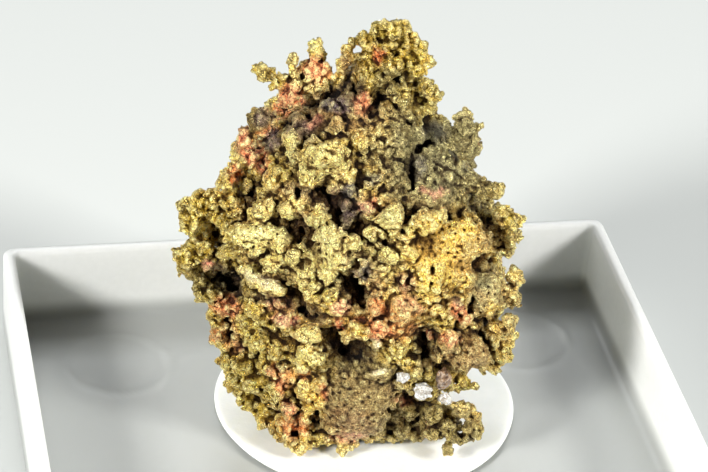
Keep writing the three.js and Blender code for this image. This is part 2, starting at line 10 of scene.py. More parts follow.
import bmesh
import bpy
import numpy as np
import openvdb
from mathutils import Matrix, Vector


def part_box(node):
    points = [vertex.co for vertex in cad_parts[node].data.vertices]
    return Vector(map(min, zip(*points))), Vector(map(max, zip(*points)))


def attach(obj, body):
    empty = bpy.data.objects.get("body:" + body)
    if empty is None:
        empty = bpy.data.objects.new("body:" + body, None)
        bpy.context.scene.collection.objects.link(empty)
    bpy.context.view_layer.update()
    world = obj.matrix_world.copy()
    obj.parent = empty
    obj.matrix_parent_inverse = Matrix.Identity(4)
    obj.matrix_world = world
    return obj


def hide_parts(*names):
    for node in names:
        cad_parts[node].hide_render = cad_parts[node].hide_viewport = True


MM = 0.001
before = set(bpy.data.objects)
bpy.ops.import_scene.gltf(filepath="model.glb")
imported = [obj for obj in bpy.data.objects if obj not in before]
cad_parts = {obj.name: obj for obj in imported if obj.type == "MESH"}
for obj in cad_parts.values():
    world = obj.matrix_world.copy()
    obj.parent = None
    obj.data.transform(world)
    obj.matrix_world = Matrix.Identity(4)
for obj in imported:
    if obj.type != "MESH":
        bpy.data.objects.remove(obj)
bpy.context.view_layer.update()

# ---- Places taken from the frame ----
disc_low, disc_high = (Vector(corner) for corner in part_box("tack_disc"))
tray_low, tray_high = (Vector(corner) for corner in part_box("display_tray"))
PLACE = Vector(((disc_low.x + disc_high.x) / 2, (disc_low.y + disc_high.y) / 2, disc_high.z))
FACE_TURN = math.radians(-12.9)  # the face looks towards the tray's front left
TO_WORLD = Matrix.Translation(PLACE) @ Matrix.Rotation(FACE_TURN, 4, "Z") @ Matrix.Scale(MM, 4)

# ---- The copper's shaping ----
COARSE = 0.24  # grid steps of the two shaping stages, in millimetres
FINE = COARSE / 2
BAND = 9  # how many steps the distance field of a CAD solid reaches
MARGIN = 1.6
TRIANGLES = 196000
THINNING_DEPTH = 18.0
THINNING_MIDDLE = 18.0
SEED = 11

# The face's layout: a viewer in front and a little above sees across and up on a sloping plane.
# A form that lies a millimetre deeper than the plane sits this much lower.
DROP_PER_DEPTH = 0.64
PLANE_UP = (-4, 0, 5, 12, 20, 28, 36, 43)
PLANE_DEPTH = (-8.5, -8.5, -9, -10.5, -10.5, -8, -4, -1)


def blurred(field, radius, times=3):
    """A field smoothed by repeated running means of the given radius in grid steps."""
    width = 2 * radius + 1
    ends = [(radius + 1, radius), (0, 0), (0, 0)]
    for axis in range(3):
        field = np.moveaxis(field, axis, 0)
        for _ in range(times):
            total = np.cumsum(np.pad(field, ends, mode="edge"), axis=0, dtype=np.float64)
            field = ((total[width:] - total[:-width]) / width).astype(np.float32)
        field = np.moveaxis(field, 0, axis)
    return np.ascontiguousarray(field)


def doubled(field):
    """A field on a grid of half the step, in straight lines between the old values."""
    for axis in range(3):
        field = np.moveaxis(field, axis, 0)
        wide = np.empty((2 * len(field) - 1, *field.shape[1:]), np.float32)
        wide[::2] = field
        wide[1::2] = (field[:-1] + field[1:]) / 2
        field = np.moveaxis(wide, 0, axis)
    return np.ascontiguousarray(field)


def between(table, base, part, wrap=-1):
    """Values between the eight corners of a grid's cells: base is a cell's low corner, and part is
    how far into the cell the place is. The grid repeats where wrap is its last index."""
    value = np.zeros(len(base), np.float32)
    for corner in np.ndindex(2, 2, 2):
        weight = 1
        for axis, high in enumerate(corner):
            weight = weight * (part[:, axis] if high else 1 - part[:, axis])
        value += weight * table[tuple(((base + corner) & wrap).T)]
    return value


def sample(field, low, step, points):
    """The field's values at points, between its grid values."""
    place = (points - low) / step
    base = np.clip(np.floor(place).astype(np.int32), 0, np.array(field.shape) - 2)
    return between(field, base, np.clip(place - base, 0, 1).astype(np.float32))


def smooth_noise(points, size, seed):
    """Value noise from -1 to 1 with lumps of about the given size."""
    lattice = np.random.default_rng(seed).uniform(-1, 1, (64, 64, 64)).astype(np.float32)
    place = points / size
    base = np.floor(place).astype(np.int32)
    part = (place - base).astype(np.float32)
    return between(lattice, base, part * part * (3 - 2 * part), 63)


def grains(points, size, seed):
    """Scattered centres about a size apart: distances to the nearest and the second nearest in
    units of size, and a number from 0 to 1 that belongs to the nearest."""
    table = np.random.default_rng(seed).uniform(0.12, 0.88, (32, 32, 32, 4)).astype(np.float32)
    place = (points / size).astype(np.float32)
    base = np.floor(place - 0.5).astype(np.int32)
    part = place - base
    first = np.full(len(points), 9.0, np.float32)
    second = first.copy()
    name = np.zeros(len(points), np.float32)
    for corner in np.ndindex(2, 2, 2):
        entry = table[tuple(((base + corner) & 31).T)]
        away = part - entry[:, :3] - np.array(corner, np.float32)
        far = np.einsum("ij,ij->i", away, away)
        nearer = far < first
        second = np.where(nearer, first, np.minimum(second, far))
        name = np.where(nearer, entry[:, 3], name)
        first = np.where(nearer, far, first)
    return np.sqrt(first), np.sqrt(second), name


def in_parts(function, points):
    """Runs a function over a long list of points in four threads and joins what it gives."""
    shares = np.array_split(points, 4)
    with ThreadPoolExecutor(4) as pool:
        found = list(pool.map(function, shares))
    if isinstance(found[0], tuple):
        return tuple(np.concatenate(column) for column in zip(*found))
    return np.concatenate(found)


def smoothstep(low, high, value):
    t = np.clip((value - low) / (high - low), 0, 1)
    return t * t * (3 - 2 * t)


# ---- The copper's field: millimetres outside (+) or inside (-) its surface ----
def cad_field(node, step, margin):
    """The distance field of a CAD solid in the specimen's frame, and its grid's low corner."""
    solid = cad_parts[node].data
    count = len(solid.vertices)
    points = np.empty(count * 3, np.float32)
    solid.vertices.foreach_get("co", points)
    points = points.reshape(-1, 3)
    back = np.array(TO_WORLD.inverted())
    points = (points @ back[:3, :3].T + back[:3, 3]).astype(np.float32)
    solid.calc_loop_triangles()
    triangles = np.empty(len(solid.loop_triangles) * 3, np.int32)
    solid.loop_triangles.foreach_get("vertices", triangles)
    transform = openvdb.createLinearTransform(step)
    level = openvdb.FloatGrid.createLevelSetFromPolygons(
        points, triangles=triangles.reshape(-1, 3).astype(np.uint32), transform=transform, halfWidth=BAND
    )
    first = np.floor((points.min(0) - margin) / step).astype(int)
    last = np.ceil((points.max(0) + margin) / step).astype(int)
    field = np.full(last - first + 1, BAND * step, np.float32)
    level.copyToArray(field, ijk=tuple(int(i) for i in first))
    return field, first * step


class Field:
    """A distance field on a grid, with the forms that are joined to it or cut from it."""

    def __init__(self, values, low, step):
        self.values = values
        self.low = np.array(low, np.float32)
        self.step = step

    def at(self, points):
        return sample(self.values, self.low, self.step, points)

    def around(self, centre, reach):
        """The part of the grid within reach of a centre, and its points relative to the centre."""
        shape = np.array(self.values.shape)
        first = np.clip(np.floor((centre - reach - self.low) / self.step).astype(int), 0, shape)
        last = np.clip(np.ceil((centre + reach - self.low) / self.step).astype(int) + 1, 0, shape)
        window = tuple(slice(a, b) for a, b in zip(first, last))
        lines = [
            (np.arange(first[i], last[i]) * self.step + self.low[i] - centre[i]).astype(np.float32)
            for i in range(3)
        ]
        return window, np.meshgrid(*lines, indexing="ij", sparse=True)

    def rounded(self, centre, half, axes, power=2):
        """A window of the grid and the distance there to a rounded form on three unit axes: an
        ellipsoid at power 2, nearer to a double pyramid below it and to a block above it."""
        window, (x, y, z) = self.around(centre, max(half) + 1.5 * self.step + 0.1)
        near = 1e-6
        steep = 1e-6
        for axis, size in zip(axes, half):
            along = np.abs(x * axis[0] + y * axis[1] + z * axis[2]) / size
            share = along if power == 2 else along ** (power - 1)
            near = near + along * share
            steep = steep + (share / size) ** 2
        reach = np.sqrt(near) if power == 2 else near ** (1 / power)
        return window, (reach - 1) * near / (reach * np.sqrt(steep))

    def join(self, centre, half, axes, soft, power=2, sign=1):
        """Blends a rounded form into the solid, or out of it where the sign is -1."""
        window, shape = self.rounded(centre, half, axes, power)
        here = sign * self.values[window]
        mix = np.clip(0.5 + 0.5 * (here - shape) / soft, 0, 1)
        self.values[window] = sign * (here + (shape - here) * mix - soft * mix * (1 - mix))

    def cut(self, centre, half, axes, soft):
        self.join(centre, half, axes, soft, sign=-1)

    def slope(self, points):
        """The unit way out of the surface at some points."""
        away = np.empty_like(points, dtype=np.float32)
        for axis in range(3):
            shift = np.zeros(3)
            shift[axis] = self.step
            away[:, axis] = self.at(points + shift) - self.at(points - shift)
        return away / (np.linalg.norm(away, axis=1, keepdims=True) + 1e-6)

    def crossings(self):
        """Points on the surface, one for each grid edge along an axis that it crosses."""
        found = []
        for axis in range(3):
            count = self.values.shape[axis]
            first = self.values.take(range(count - 1), axis)
            second = self.values.take(range(1, count), axis)
            where = np.argwhere((first < 0) != (second < 0))
            a, b = (side[tuple(where.T)] for side in (first, second))
            place = where.astype(np.float32)
            place[:, axis] += a / (a - b)
            found.append(place * self.step + self.low)
        return np.concatenate(found)


# ---- The face's layout ----
SIGHT = np.array((0, 1, -DROP_PER_DEPTH)) / math.hypot(1, DROP_PER_DEPTH)
SIGHT_UP = np.array((0, DROP_PER_DEPTH, 1)) / math.hypot(1, DROP_PER_DEPTH)
ACROSS = np.array((1.0, 0, 0))
LAYOUT = np.linspace(-4, 46, 501)  # heights on the layout, past both ends of the specimen
SIGHT_DEPTHS = np.arange(-15, 11, 0.08)  # where a sight line is looked along


def layout_up(points):
    """How far up the layout a point is seen."""
    seen = LAYOUT + DROP_PER_DEPTH * np.interp(LAYOUT, PLANE_UP, PLANE_DEPTH)
    return np.interp(points[:, 2] + DROP_PER_DEPTH * points[:, 1], seen, LAYOUT)


def hit(field, across, up):
    """The first point of the surface on the sight line through a place in the layout."""
    plane = np.interp(up, PLANE_UP, PLANE_DEPTH)
    height = up - DROP_PER_DEPTH * (SIGHT_DEPTHS - plane)
    line = np.stack((np.full_like(height, across), SIGHT_DEPTHS, height), axis=1)
    inside = np.flatnonzero(field.at(line) < 0)
    return line[inside[0]] if len(inside) else line[np.argmin(field.at(line))]


def leaning_axes(lean=0):
    turn = math.radians(lean)
    return (
        math.cos(turn) * ACROSS + math.sin(turn) * SIGHT_UP,
        SIGHT,
        -math.sin(turn) * ACROSS + math.cos(turn) * SIGHT_UP,
    )


# ---- The copper's forms ----
# Lumps on the face: across, up, half width, half height, how far it stands proud, and its lean
# in degrees if it has one.
LUMPS = [
    # top left: knobs and salmon and blue-grey nodules
    (-6.2, 35.7, 1.5, 1.1, 0.5), (-6.2, 37.3, 0.85, 0.75, 0.7), (-8, 33.6, 0.8, 0.7, 0.5),
    (-9, 32.9, 0.7, 0.7, 0.5), (-5, 33.3, 0.6, 0.55, 0.4), (-4, 33, 0.55, 0.5, 0.4),
    (-9, 30, 0.8, 0.9, 0.5), (-7.5, 29.7, 0.5, 1.6, 0.9, 6), (-11.2, 29.3, 1, 1.9, 0.5, 38),
    (-8.9, 27.4, 1.1, 1.4, 0.7), (-11.5, 27, 0.9, 0.8, 0.5),
    # upper centre: a bright granular dome with small mounds around it
    (-4.6, 29.4, 1.6, 1.4, 0.6), (-3, 28.2, 1.1, 0.9, 0.5), (-6.2, 28, 0.9, 0.9, 0.6),
    (-1.8, 30.6, 1.2, 0.8, 0.4), (0.1, 33.2, 0.6, 0.6, 0.7), (-2.5, 26.9, 0.55, 0.5, 0.5),
    (-1, 27.6, 0.6, 0.6, 0.4), (0.2, 26.4, 1.3, 0.7, 0.5, 18),
    # the big nodules right of the centre
    (1, 25, 1.15, 1.1, 0.9), (4, 24.9, 1.3, 1.1, 0.9, 20), (-0.9, 25.8, 0.8, 0.7, 0.6),
    (2.6, 24, 0.8, 0.8, 0.6), (1, 21.7, 0.8, 0.8, 0.7), (2.4, 22.4, 0.7, 0.6, 0.5),
    (-2.4, 24.5, 0.9, 0.85, 0.9), (-2.7, 25.9, 0.8, 0.7, 0.8), (0.5, 14.9, 0.9, 0.8, 0.8),
    # the bright ledge at the left and what hangs under it
    (-10.4, 22.9, 2.6, 1.05, 0.95, 5), (-8, 22.4, 1.1, 1.1, 0.8), (-11.2, 21.4, 1.5, 0.9, 0.7, -12),
    (-9.8, 24.6, 1.3, 0.9, 0.75, 12), (-7.6, 24.9, 0.7, 0.8, 0.6), (-7, 21.4, 0.8, 0.7, 0.6),
    (-8.5, 20.5, 0.8, 0.7, 0.5), (-10.4, 19.3, 1.1, 0.6, 0.6, -25), (-8.3, 18.2, 1.2, 0.8, 0.7, -25),
    # the bright column with its branch to the right
    (-5, 24.6, 0.75, 0.9, 0.8), (-4.1, 23.1, 1.2, 1.1, 0.9), (-3.3, 21.2, 1, 1.2, 0.8),
    (-1.9, 22.5, 0.9, 0.55, 0.7, 28), (-0.4, 23.6, 0.9, 0.8, 0.8, 20), (-5.2, 18.6, 0.9, 0.85, 0.6),
    (-3.3, 18.7, 0.8, 1, 0.6), (-3.1, 16.8, 0.6, 0.8, 0.5), (-0.8, 19.4, 0.6, 0.5, 0.6),
    (-1, 21, 0.55, 0.5, 0.5),
    # left fronds
    (-14.9, 21.4, 1.3, 0.6, 0.5, 22), (-14.1, 19.8, 0.6, 0.6, 0.6), (-13.2, 24.4, 1.2, 1, 0.7),
    (-14.7, 25.4, 0.9, 0.8, 0.6), (-12, 24.6, 1.1, 0.9, 0.7), (-12.4, 15.7, 1.1, 0.8, 0.5),
    # lower left
    (-9.8, 15.7, 0.9, 0.7, 0.6), (-7.3, 14.8, 0.8, 0.7, 0.6), (-9.2, 13.3, 0.8, 0.8, 0.6),
    (-11.4, 12.6, 0.8, 0.9, 0.6), (-5.2, 13.5, 0.85, 0.85, 1), (-5, 11.4, 1.25, 0.85, 1.1),
    (-7.6, 11.6, 0.8, 0.8, 0.6), (-10.6, 9.8, 0.7, 0.9, 0.5, 10), (-8.2, 9.2, 0.9, 0.7, 0.6),
    (-9.9, 7, 0.8, 0.8, 0.5), (-7.7, 7, 0.7, 0.6, 0.5), (-6.5, 4.8, 0.85, 0.8, 0.8),
    (-8.4, 4.2, 0.7, 0.8, 0.5), (-4.9, 5.3, 0.45, 2.1, 0.6, -4), (-5.2, 7.6, 0.9, 1.2, 0.8),
    (-5.3, 0.6, 0.8, 0.7, 0.6),
    # under the black central hollow
    (-1, 14.5, 1.2, 0.9, 0.8), (-2.6, 15, 0.6, 0.5, 0.5), (0.6, 13.2, 0.7, 0.6, 0.7),
    (2.5, 13.2, 0.9, 0.9, 0.6), (2.3, 16.8, 1, 1, 0.5), (0.4, 17.4, 0.6, 0.8, 0.5),
    # right side: the curved ear, ribs beside the panel and the nodule rim
    (11.1, 24.2, 0.5, 1.8, 0.6, 6), (7.3, 16.9, 0.5, 1.6, 0.5, 52), (8.4, 15.9, 0.5, 1.3, 0.5, 60),
    (6.7, 13.8, 0.9, 1.1, 0.5), (8.8, 12.8, 1.6, 1.3, 0.5), (5, 14.4, 0.5, 0.5, 0.6),
    (4.4, 11, 0.35, 1.4, 0.7, -4), (11.9, 20.8, 0.7, 0.7, 0.5), (12.2, 18.6, 0.6, 0.8, 0.4),
    (11.8, 16.4, 0.7, 0.8, 0.5), (11.4, 13.9, 0.8, 0.9, 0.5),
    # nodules round the granular apron, and ridges on it
    (-3.9, 8.6, 0.9, 0.7, 0.5, 20), (-3.7, 6.4, 0.6, 1, 0.5, 8), (-3.2, 3.2, 0.9, 0.7, 0.4),
    (2.9, 8.6, 0.8, 0.6, 0.5, -20), (3.1, 6.6, 0.5, 0.7, 0.5), (0.6, 9.6, 1, 0.5, 0.4, 10),
    (-1.6, 1.4, 1.2, 0.6, 0.4, 10), (1.4, 2.2, 0.9, 0.5, 0.4, -10), (-1.4, 7.2, 0.7, 0.5, 0.15, 30),
    (0.8, 4.4, 0.9, 0.5, 0.15, -20), (-2, 4.6, 0.6, 0.8, 0.15, 10),
    # the small branching growth beside the foot
    (6, 5.2, 0.9, 0.8, 0.8), (7.3, 3.6, 1, 0.9, 0.9), (9.4, 4.2, 0.7, 0.6, 0.7), (10, 3.6, 0.6, 0.6, 0.5),
    (4.5, 2.6, 0.8, 0.6, 0.5), (3, 2.2, 0.7, 0.6, 0.5), (7.5, 1.4, 0.5, 0.5, 0.4),
    (8.7, 2.5, 0.6, 0.5, 0.5), (5.8, 3.2, 0.5, 0.5, 0.5),
]

# Hollows in the face: across, up, half width, half height, depth, and a lean if it has one.
HOLLOWS = [
    (-10.9, 26.3, 0.75, 0.6, 2, 10), (-6.4, 23, 0.25, 0.8, 0.7), (-12.4, 18.2, 0.7, 2.6, 2.2, 40),
    (-4.6, 26.6, 0.4, 0.6, 0.8, 25), (-3.2, 25.2, 0.25, 0.6, 0.5, -15), (-1.2, 18.3, 0.75, 2.3, 2.6, 5),
    (1, 22.8, 0.8, 0.4, 1.3, -8), (-5.4, 16, 1.1, 0.5, 1.8, -35), (-2.2, 12.3, 0.7, 0.5, 1.4, -20),
    (4.7, 13, 0.42, 2.4, 2, -4), (3.3, 30.8, 0.7, 0.35, 2, 30), (2.1, 32.3, 0.35, 0.3, 1.6),
    (2.4, 28.4, 0.22, 1.5, 0.9, 3), (5.6, 25.4, 0.7, 0.4, 1.6, -20), (9.8, 21.9, 1.8, 0.25, 1.5, 12),
    (-2.9, 34.3, 0.8, 0.6, 1.4), (-0.8, 38.4, 0.5, 0.35, 1), (-3.4, 36, 0.4, 0.6, 0.9, 10),
    (0.4, 35.4, 0.6, 0.4, 0.9, 20), (0.2, 37.4, 0.3, 0.4, 0.8), (2.2, 35.4, 0.3, 0.5, 0.8),
    (4, 4.5, 0.8, 0.6, 2), (2.3, 5.2, 0.5, 0.5, 1.4), (8.6, 3.3, 0.4, 0.4, 1.4),
    (-3.9, 4.3, 0.35, 1.1, 1.1), (-5.5, 2, 0.8, 0.25, 1.2, 10), (8.3, 17.9, 0.4, 1.6, 1.8, 20),
    (-6.4, 33.3, 0.9, 0.4, 1.3), (2.6, -0.7, 3.4, 1.1, 3, 4), (7, -1.2, 2.6, 0.9, 2),
    (5, 18, 1.6, 0.18, 0.9, -4), (7.7, 16.6, 1.3, 0.2, 1, -40), (4.8, 20.2, 0.14, 1.3, 0.6, 5),
    (-9.4, 10.9, 0.5, 0.9, 1.4, 20), (-6.7, 9.8, 0.4, 0.6, 1.2), (-9.6, 12, 0.4, 0.4, 1),
    (-6.8, 26.4, 0.4, 0.7, 1.2), (9.7, 14.6, 0.25, 1.3, 1, 40), (-13.9, 22.4, 0.5, 0.4, 1),
    (10.6, 13, 0.3, 0.9, 1, 10), (-7, 32.2, 0.6, 0.35, 1),
]

# Sprigs that stand clear of the edge: beads along a stalk, as across, depth, height, radius.
SPRIGS = [
    # the crown
    [(-0.5, -2.5, 37.6, 0.9), (-0.6, -2.4, 38.6, 0.65), (-0.2, -2.3, 39.2, 0.6), (0.2, -2.2, 39.3, 0.45)],
    [(-1.6, -2.6, 37.4, 0.8), (-2.3, -2.5, 38.1, 0.65), (-3, -2.4, 37.6, 0.6), (-3.6, -2.4, 36.8, 0.6)],
    [(-1.3, -2.4, 38.7, 0.55), (-2.2, -2.6, 36.8, 0.6), (-3.1, -2.5, 36.2, 0.55), (-3.9, -2.6, 35.4, 0.6)],
    [(-4.2, -2.7, 34.4, 0.5), (0.9, -2.5, 37.3, 0.8), (1.4, -2.3, 38, 0.7), (2.2, -2.4, 37.3, 0.8)],
    [(2.7, -2.5, 36.2, 0.85), (3.2, -2.8, 34, 0.8), (3.6, -2.8, 33.2, 0.8), (4.2, -2.9, 33.4, 0.5)],
    # the arm and the knobs at the top left
    [(-8.2, -3.6, 33.4, 0.8), (-9, -3.7, 34.2, 0.7), (-9.7, -3.9, 34.7, 0.65), (-10.3, -4, 34.9, 0.62)],
    [(-7.8, -3.2, 34.4, 0.6), (-8.1, -3.3, 35.2, 0.36), (-8.1, -3.4, 35.9, 0.3), (-8, -3.4, 36.5, 0.4)],
    [(-6.1, -3, 34, 1), (-6.3, -3, 34.9, 0.6), (-6.3, -3, 35.8, 0.42), (-6.3, -3, 36.7, 0.45)],
    [(-8.7, -3.4, 34.2, 0.5), (-4.9, -2.9, 34.4, 0.42)],
    # the right edge
    [(6, -4.4, 30.6, 0.9), (6.9, -4.4, 29.9, 0.8), (6.5, -4.4, 31.8, 0.7), (7.3, -4.4, 31.2, 0.6)],
    [(7.3, -4.4, 26.1, 0.8), (8.5, -4.6, 25.8, 0.7), (9.3, -4.8, 25.7, 0.55), (9.2, -4.6, 24.9, 0.5)],
    [(10.2, -4.8, 23.6, 0.9), (10.9, -4.9, 22.8, 0.75), (11.2, -4.9, 21.4, 0.7)],
    [(11.2, -5, 15.2, 0.9), (11.8, -5.3, 16.3, 0.7), (12.2, -5.4, 17.3, 0.55)],
    [(10.2, -6.2, 9.2, 0.9), (11.2, -5.8, 10.2, 1.1), (11.8, -5.4, 11.4, 0.9), (11.8, -6.4, 13.6, 0.7)],
    # the left edge from the top to the disc
    [(-10.6, -4.6, 30.8, 0.9), (-11.6, -4.9, 29.4, 0.8), (-11.9, -5.2, 27.2, 1), (-13, -5.5, 25.4, 0.9)],
    [(-12.6, -5.6, 23.4, 1), (-14, -5.8, 23.4, 0.9), (-15.4, -6, 22.8, 0.8), (-16.2, -6, 22.2, 0.7)],
    [(-12.8, -5.4, 21.6, 1.2), (-14.2, -5.7, 22, 1), (-15.4, -6, 21.5, 0.9), (-16.2, -6.2, 20.9, 0.6)],
    [(-12.8, -5.6, 17.7, 1.2), (-14.2, -5.9, 17.8, 0.9), (-15.4, -6.1, 17.3, 0.8), (-16.1, -6.2, 16.7, 0.7)],
    [(-14.6, -5.8, 19, 0.9), (-15.7, -6.1, 18.4, 0.8), (-16.4, -6.3, 17.6, 0.7)],
    [(-13, -5.8, 13.2, 1.1), (-14.1, -5.9, 14.2, 0.9), (-14.9, -6, 15.2, 0.7), (-15.3, -6.1, 16, 0.6)],
    [(-12.6, -5.5, 8.8, 0.9), (-12.9, -5.5, 10.4, 1), (-13.3, -5.7, 12, 1)],
    [(-9, -5.4, 2, 1), (-10.2, -5.5, 3.2, 1.1), (-11.2, -5.5, 4.8, 1.1), (-11.9, -5.5, 6.8, 1.1)],
    [(-12.2, -3.4, 21, 1.7), (-12.4, -3.6, 16.8, 1.6), (-12.6, -3.8, 18.8, 1.5)],
    [(-14.4, -4.6, 19.9, 1.1), (-14.2, -4.4, 15.4, 1.1), (-13.4, -3.2, 14, 1.4), (-12.3, -3.8, 13.2, 1.3)],
    # the foot where it meets the disc
    [(-7.8, -5.8, 2.2, 1.6), (-7.2, -7.2, 1.4, 1), (-5.6, -7.6, 2.2, 1.9), (-5.2, -9.4, 1.1, 0.8)],
    [(-3.6, -7.6, 1.7, 1.3), (-2.2, -7.4, 2.2, 1.8), (-1.7, -8.6, 1.2, 0.8), (0.6, -6.6, 1.8, 1.4)],
    # the small growth beside the foot
    [(7.2, -6.4, 6.4, 0.6), (8, -6.7, 6.7, 0.5), (8.7, -6.9, 7, 0.45), (9.3, -7, 7.2, 0.38)],
    [(8.6, -8, 2.6, 0.9), (9.4, -8.2, 3.3, 0.8), (9.8, -8.2, 4.2, 0.6), (9.9, -8.2, 5, 0.45)],
    [(9, -8.2, 4.6, 0.5), (8.4, -8, 5.4, 0.45)],
]
# Holes right through, along the depth: across, depth, height, radius, half length.
THROUGH_HOLES = [
    (-13.9, -6, 15.6, 0.4, 4.5), (9, -4, 24.3, 0.5, 4.5), (-2.7, -2.2, 36.7, 0.35, 3),
    (-5, -2.7, 36.5, 0.6, 3), (-4.9, -2.7, 37.4, 0.7, 3),
]

# Smoother, finely granular places: across, up, half width, half height, how smooth (0 to 1).
CALM_PLACES = [
    (-0.6, 6.4, 4.3, 5.7, 0.65), (9.6, 18.8, 1.8, 3, 0.8), (6.2, 22.6, 3.9, 3.2, 0.8),
    (4.6, 30, 3.8, 4.4, 0.45), (-10.2, 22.8, 2.8, 1.5, 0.7), (8.4, 13, 2.9, 2.2, 0.7),
    (-4, 22.2, 1.5, 2.2, 0.4), (4, 24.8, 1.3, 1.2, 0.6), (1, 25, 1.1, 1.1, 0.5),
    (3.6, 17.4, 1.8, 1.6, 0.4), (-9, 18.6, 2.2, 0.9, 0.5),
]


def calmness(points, facing):
    """How smooth the surface is at some points: only places that face the viewer are."""
    up = layout_up(points)
    wander = 0.3 * smooth_noise(points, 1.6, SEED + 50)
    calm = np.zeros(len(points), np.float32)
    for across, high, wide, tall, amount in CALM_PLACES:
        away = np.hypot((points[:, 0] - across) / wide, (up - high) / tall) + wander
        calm = np.maximum(calm, amount * (1 - smoothstep(0.6, 1.15, away)))
    return calm * smoothstep(0.0, 0.35, facing)


# ---- Shaping the copper ----
BASE_INSET = 0.26  # the growths on it bring the surface back out to the solid's own size
LUMP_BUDS = 9
HOLLOW_PARTS = 7
CRACK_WIDTH = 0.36


def scattered(points, spacing, seed):
    """An even scatter from a crowd of points, one from each cell of a grid, and eight chances from
    0 to 1 for each that depend on its cell alone."""
    cells = np.floor(points / spacing).astype(np.int64)
    table = np.random.default_rng(seed).random((32, 32, 32, 11), np.float32)
    chances = table[tuple((cells & 31).T)]
    away = np.linalg.norm(points / spacing - cells - chances[:, :3], axis=1)
    names = (cells[:, 0] * 4099 + cells[:, 1]) * 4099 + cells[:, 2]
    order = np.lexsort((away, names))
    _, first = np.unique(names[order], return_index=True)
    return points[order[first]], chances[order[first], 3:]


def form_random(across, up):
    """Random numbers that belong to a form's place, whatever else there is."""
    return np.random.default_rng([SEED, int(100 * (across + 50)), int(100 * (up + 50))])


def facing_of(normals):
    return -(normals @ SIGHT).astype(np.float32)


def add_lump(field, random, centre, half, axes):
    """A lump with smaller heads budding from the side that shows."""
    field.join(centre, half, axes, 0.2)
    for _ in range(LUMP_BUDS):
        side = random.normal(size=3)
        side[1] = -abs(side[1])
        side /= np.linalg.norm(side)
        bud = centre + 0.85 * sum(axis * size * part for axis, size, part in zip(axes, half, side))
        radius = random.uniform(0.25, 0.5) * min(half[0], half[2]) + 0.08
        squash = random.uniform(0.75, 1.25, 3)
        field.join(bud, tuple(radius * squash), leaning_axes(random.uniform(0, 180)), 0.12)


def cut_hollow(field, random, centre, half, axes):
    """An uneven hollow, from several smaller ones that overlap. A narrow one is a crooked crack."""
    wide, deep, tall = half
    thin = min(wide, tall)
    parts = HOLLOW_PARTS * min(max(wide, tall) / thin, 3)
    for _ in range(int(parts)):
        away = random.uniform(-0.62, 0.62, 3)
        share = random.uniform(0.4, 0.75, 3)
        part = centre + sum(axis * size * place for axis, size, place in zip(axes, half, away))
        if thin < CRACK_WIDTH:
            field.cut(part, tuple(0.72 * np.array(half) * (0.3 + share)), axes, 0.04)
        else:
            sizes = (thin * share[0], 0.7 * deep * share[1], thin * share[2])
            field.cut(part, sizes, leaning_axes(random.uniform(0, 180)), 0.1)


def add_forms(field):
    """The named forms of the face, the sprigs and the holes."""
    for across, up, wide, tall, proud, *lean in LUMPS:
        deep = min(0.75 * (wide + tall) / 2 + 0.4, 1.5)
        centre = hit(field, across, up) + SIGHT * (deep - 1.35 * proud)
        half = (0.92 * wide, deep, 0.85 * tall)
        add_lump(field, form_random(across, up), centre, half, leaning_axes(*lean))
    for beads in SPRIGS:
        for *centre, radius in beads:
            random = form_random(centre[0], centre[2])
            add_lump(field, random, np.array(centre), (0.9 * radius,) * 3, leaning_axes())
    for across, up, wide, tall, deep, *lean in HOLLOWS:
        centre = hit(field, across, up) + SIGHT * (deep * 0.15)
        half = (wide, deep, 0.92 * tall)
        cut_hollow(field, form_random(across, up), centre, half, leaning_axes(*lean))
    for *centre, radius, length in THROUGH_HOLES:
        field.cut(np.array(centre), (radius, length, radius), leaning_axes(), 0.1)


def add_crystals(field, spacing, small, large, sunk, spare, seed):
    """Blunt crystals in clumps all over, smaller, flatter and fewer where the surface is calm."""
    centres, chances = scattered(field.crossings(), spacing, seed)
    normals = field.slope(centres)
    calm = calmness(centres, facing_of(normals))
    clumps = smooth_noise(centres, 2.6, seed + 2)
    kept = chances[:, 0] > spare + 0.5 * calm - 0.45 * clumps
    for centre, normal, smooth, chance in zip(centres[kept], normals[kept], calm[kept], chances[kept]):
        _, size, squash, lift, kind = chance[:5]
        tilt = 3 * (chance[5:] - 0.5)
        radius = (small + (large - small) * size ** 1.8) * (1 - 0.4 * smooth)
        out = normal + 0.6 * tilt
        out /= np.linalg.norm(out)
        side = np.cross(out, tilt)
        side /= np.linalg.norm(side)
        axes = (side, np.cross(out, side), out)
        half = radius * np.array((1.4 - 0.6 * squash, 0.7 + 0.6 * squash, 0.75 + 0.4 * lift))
        raised = (0.6 * lift - sunk) * radius * (1 - 0.5 * smooth)
        power = 1.4 if kind < 0.4 else 3.5 if kind < 0.7 else 2
        field.join(centre + normal * raised, tuple(half), axes, 0.2 * radius, power)


def near_surface(field, reach):
    """Where the field is within reach of the surface, those points, and how calm they are."""
    band = np.abs(field.values) < reach
    points = (np.argwhere(band) * field.step + field.low).astype(np.float32)
    calm = in_parts(lambda share: calmness(share, facing_of(field.slope(share))), points)
    return band, points, calm


def nodules(points, size, seed):
    """Round heads packed side by side, 0 in the gaps and up to 1 at the tops, of uneven height."""
    nearest, second, name = grains(points, size, seed)
    return np.sqrt(np.clip((second - nearest) / 0.7, 0, 1)) * (0.35 + 0.65 * name)


def billows(points, size, seed):
    """Rounded swells with sharp valleys between them, from 0 to about 1."""
    return np.abs(smooth_noise(points, size, seed)) + 0.5 * np.abs(smooth_noise(points, size / 2, seed + 1))


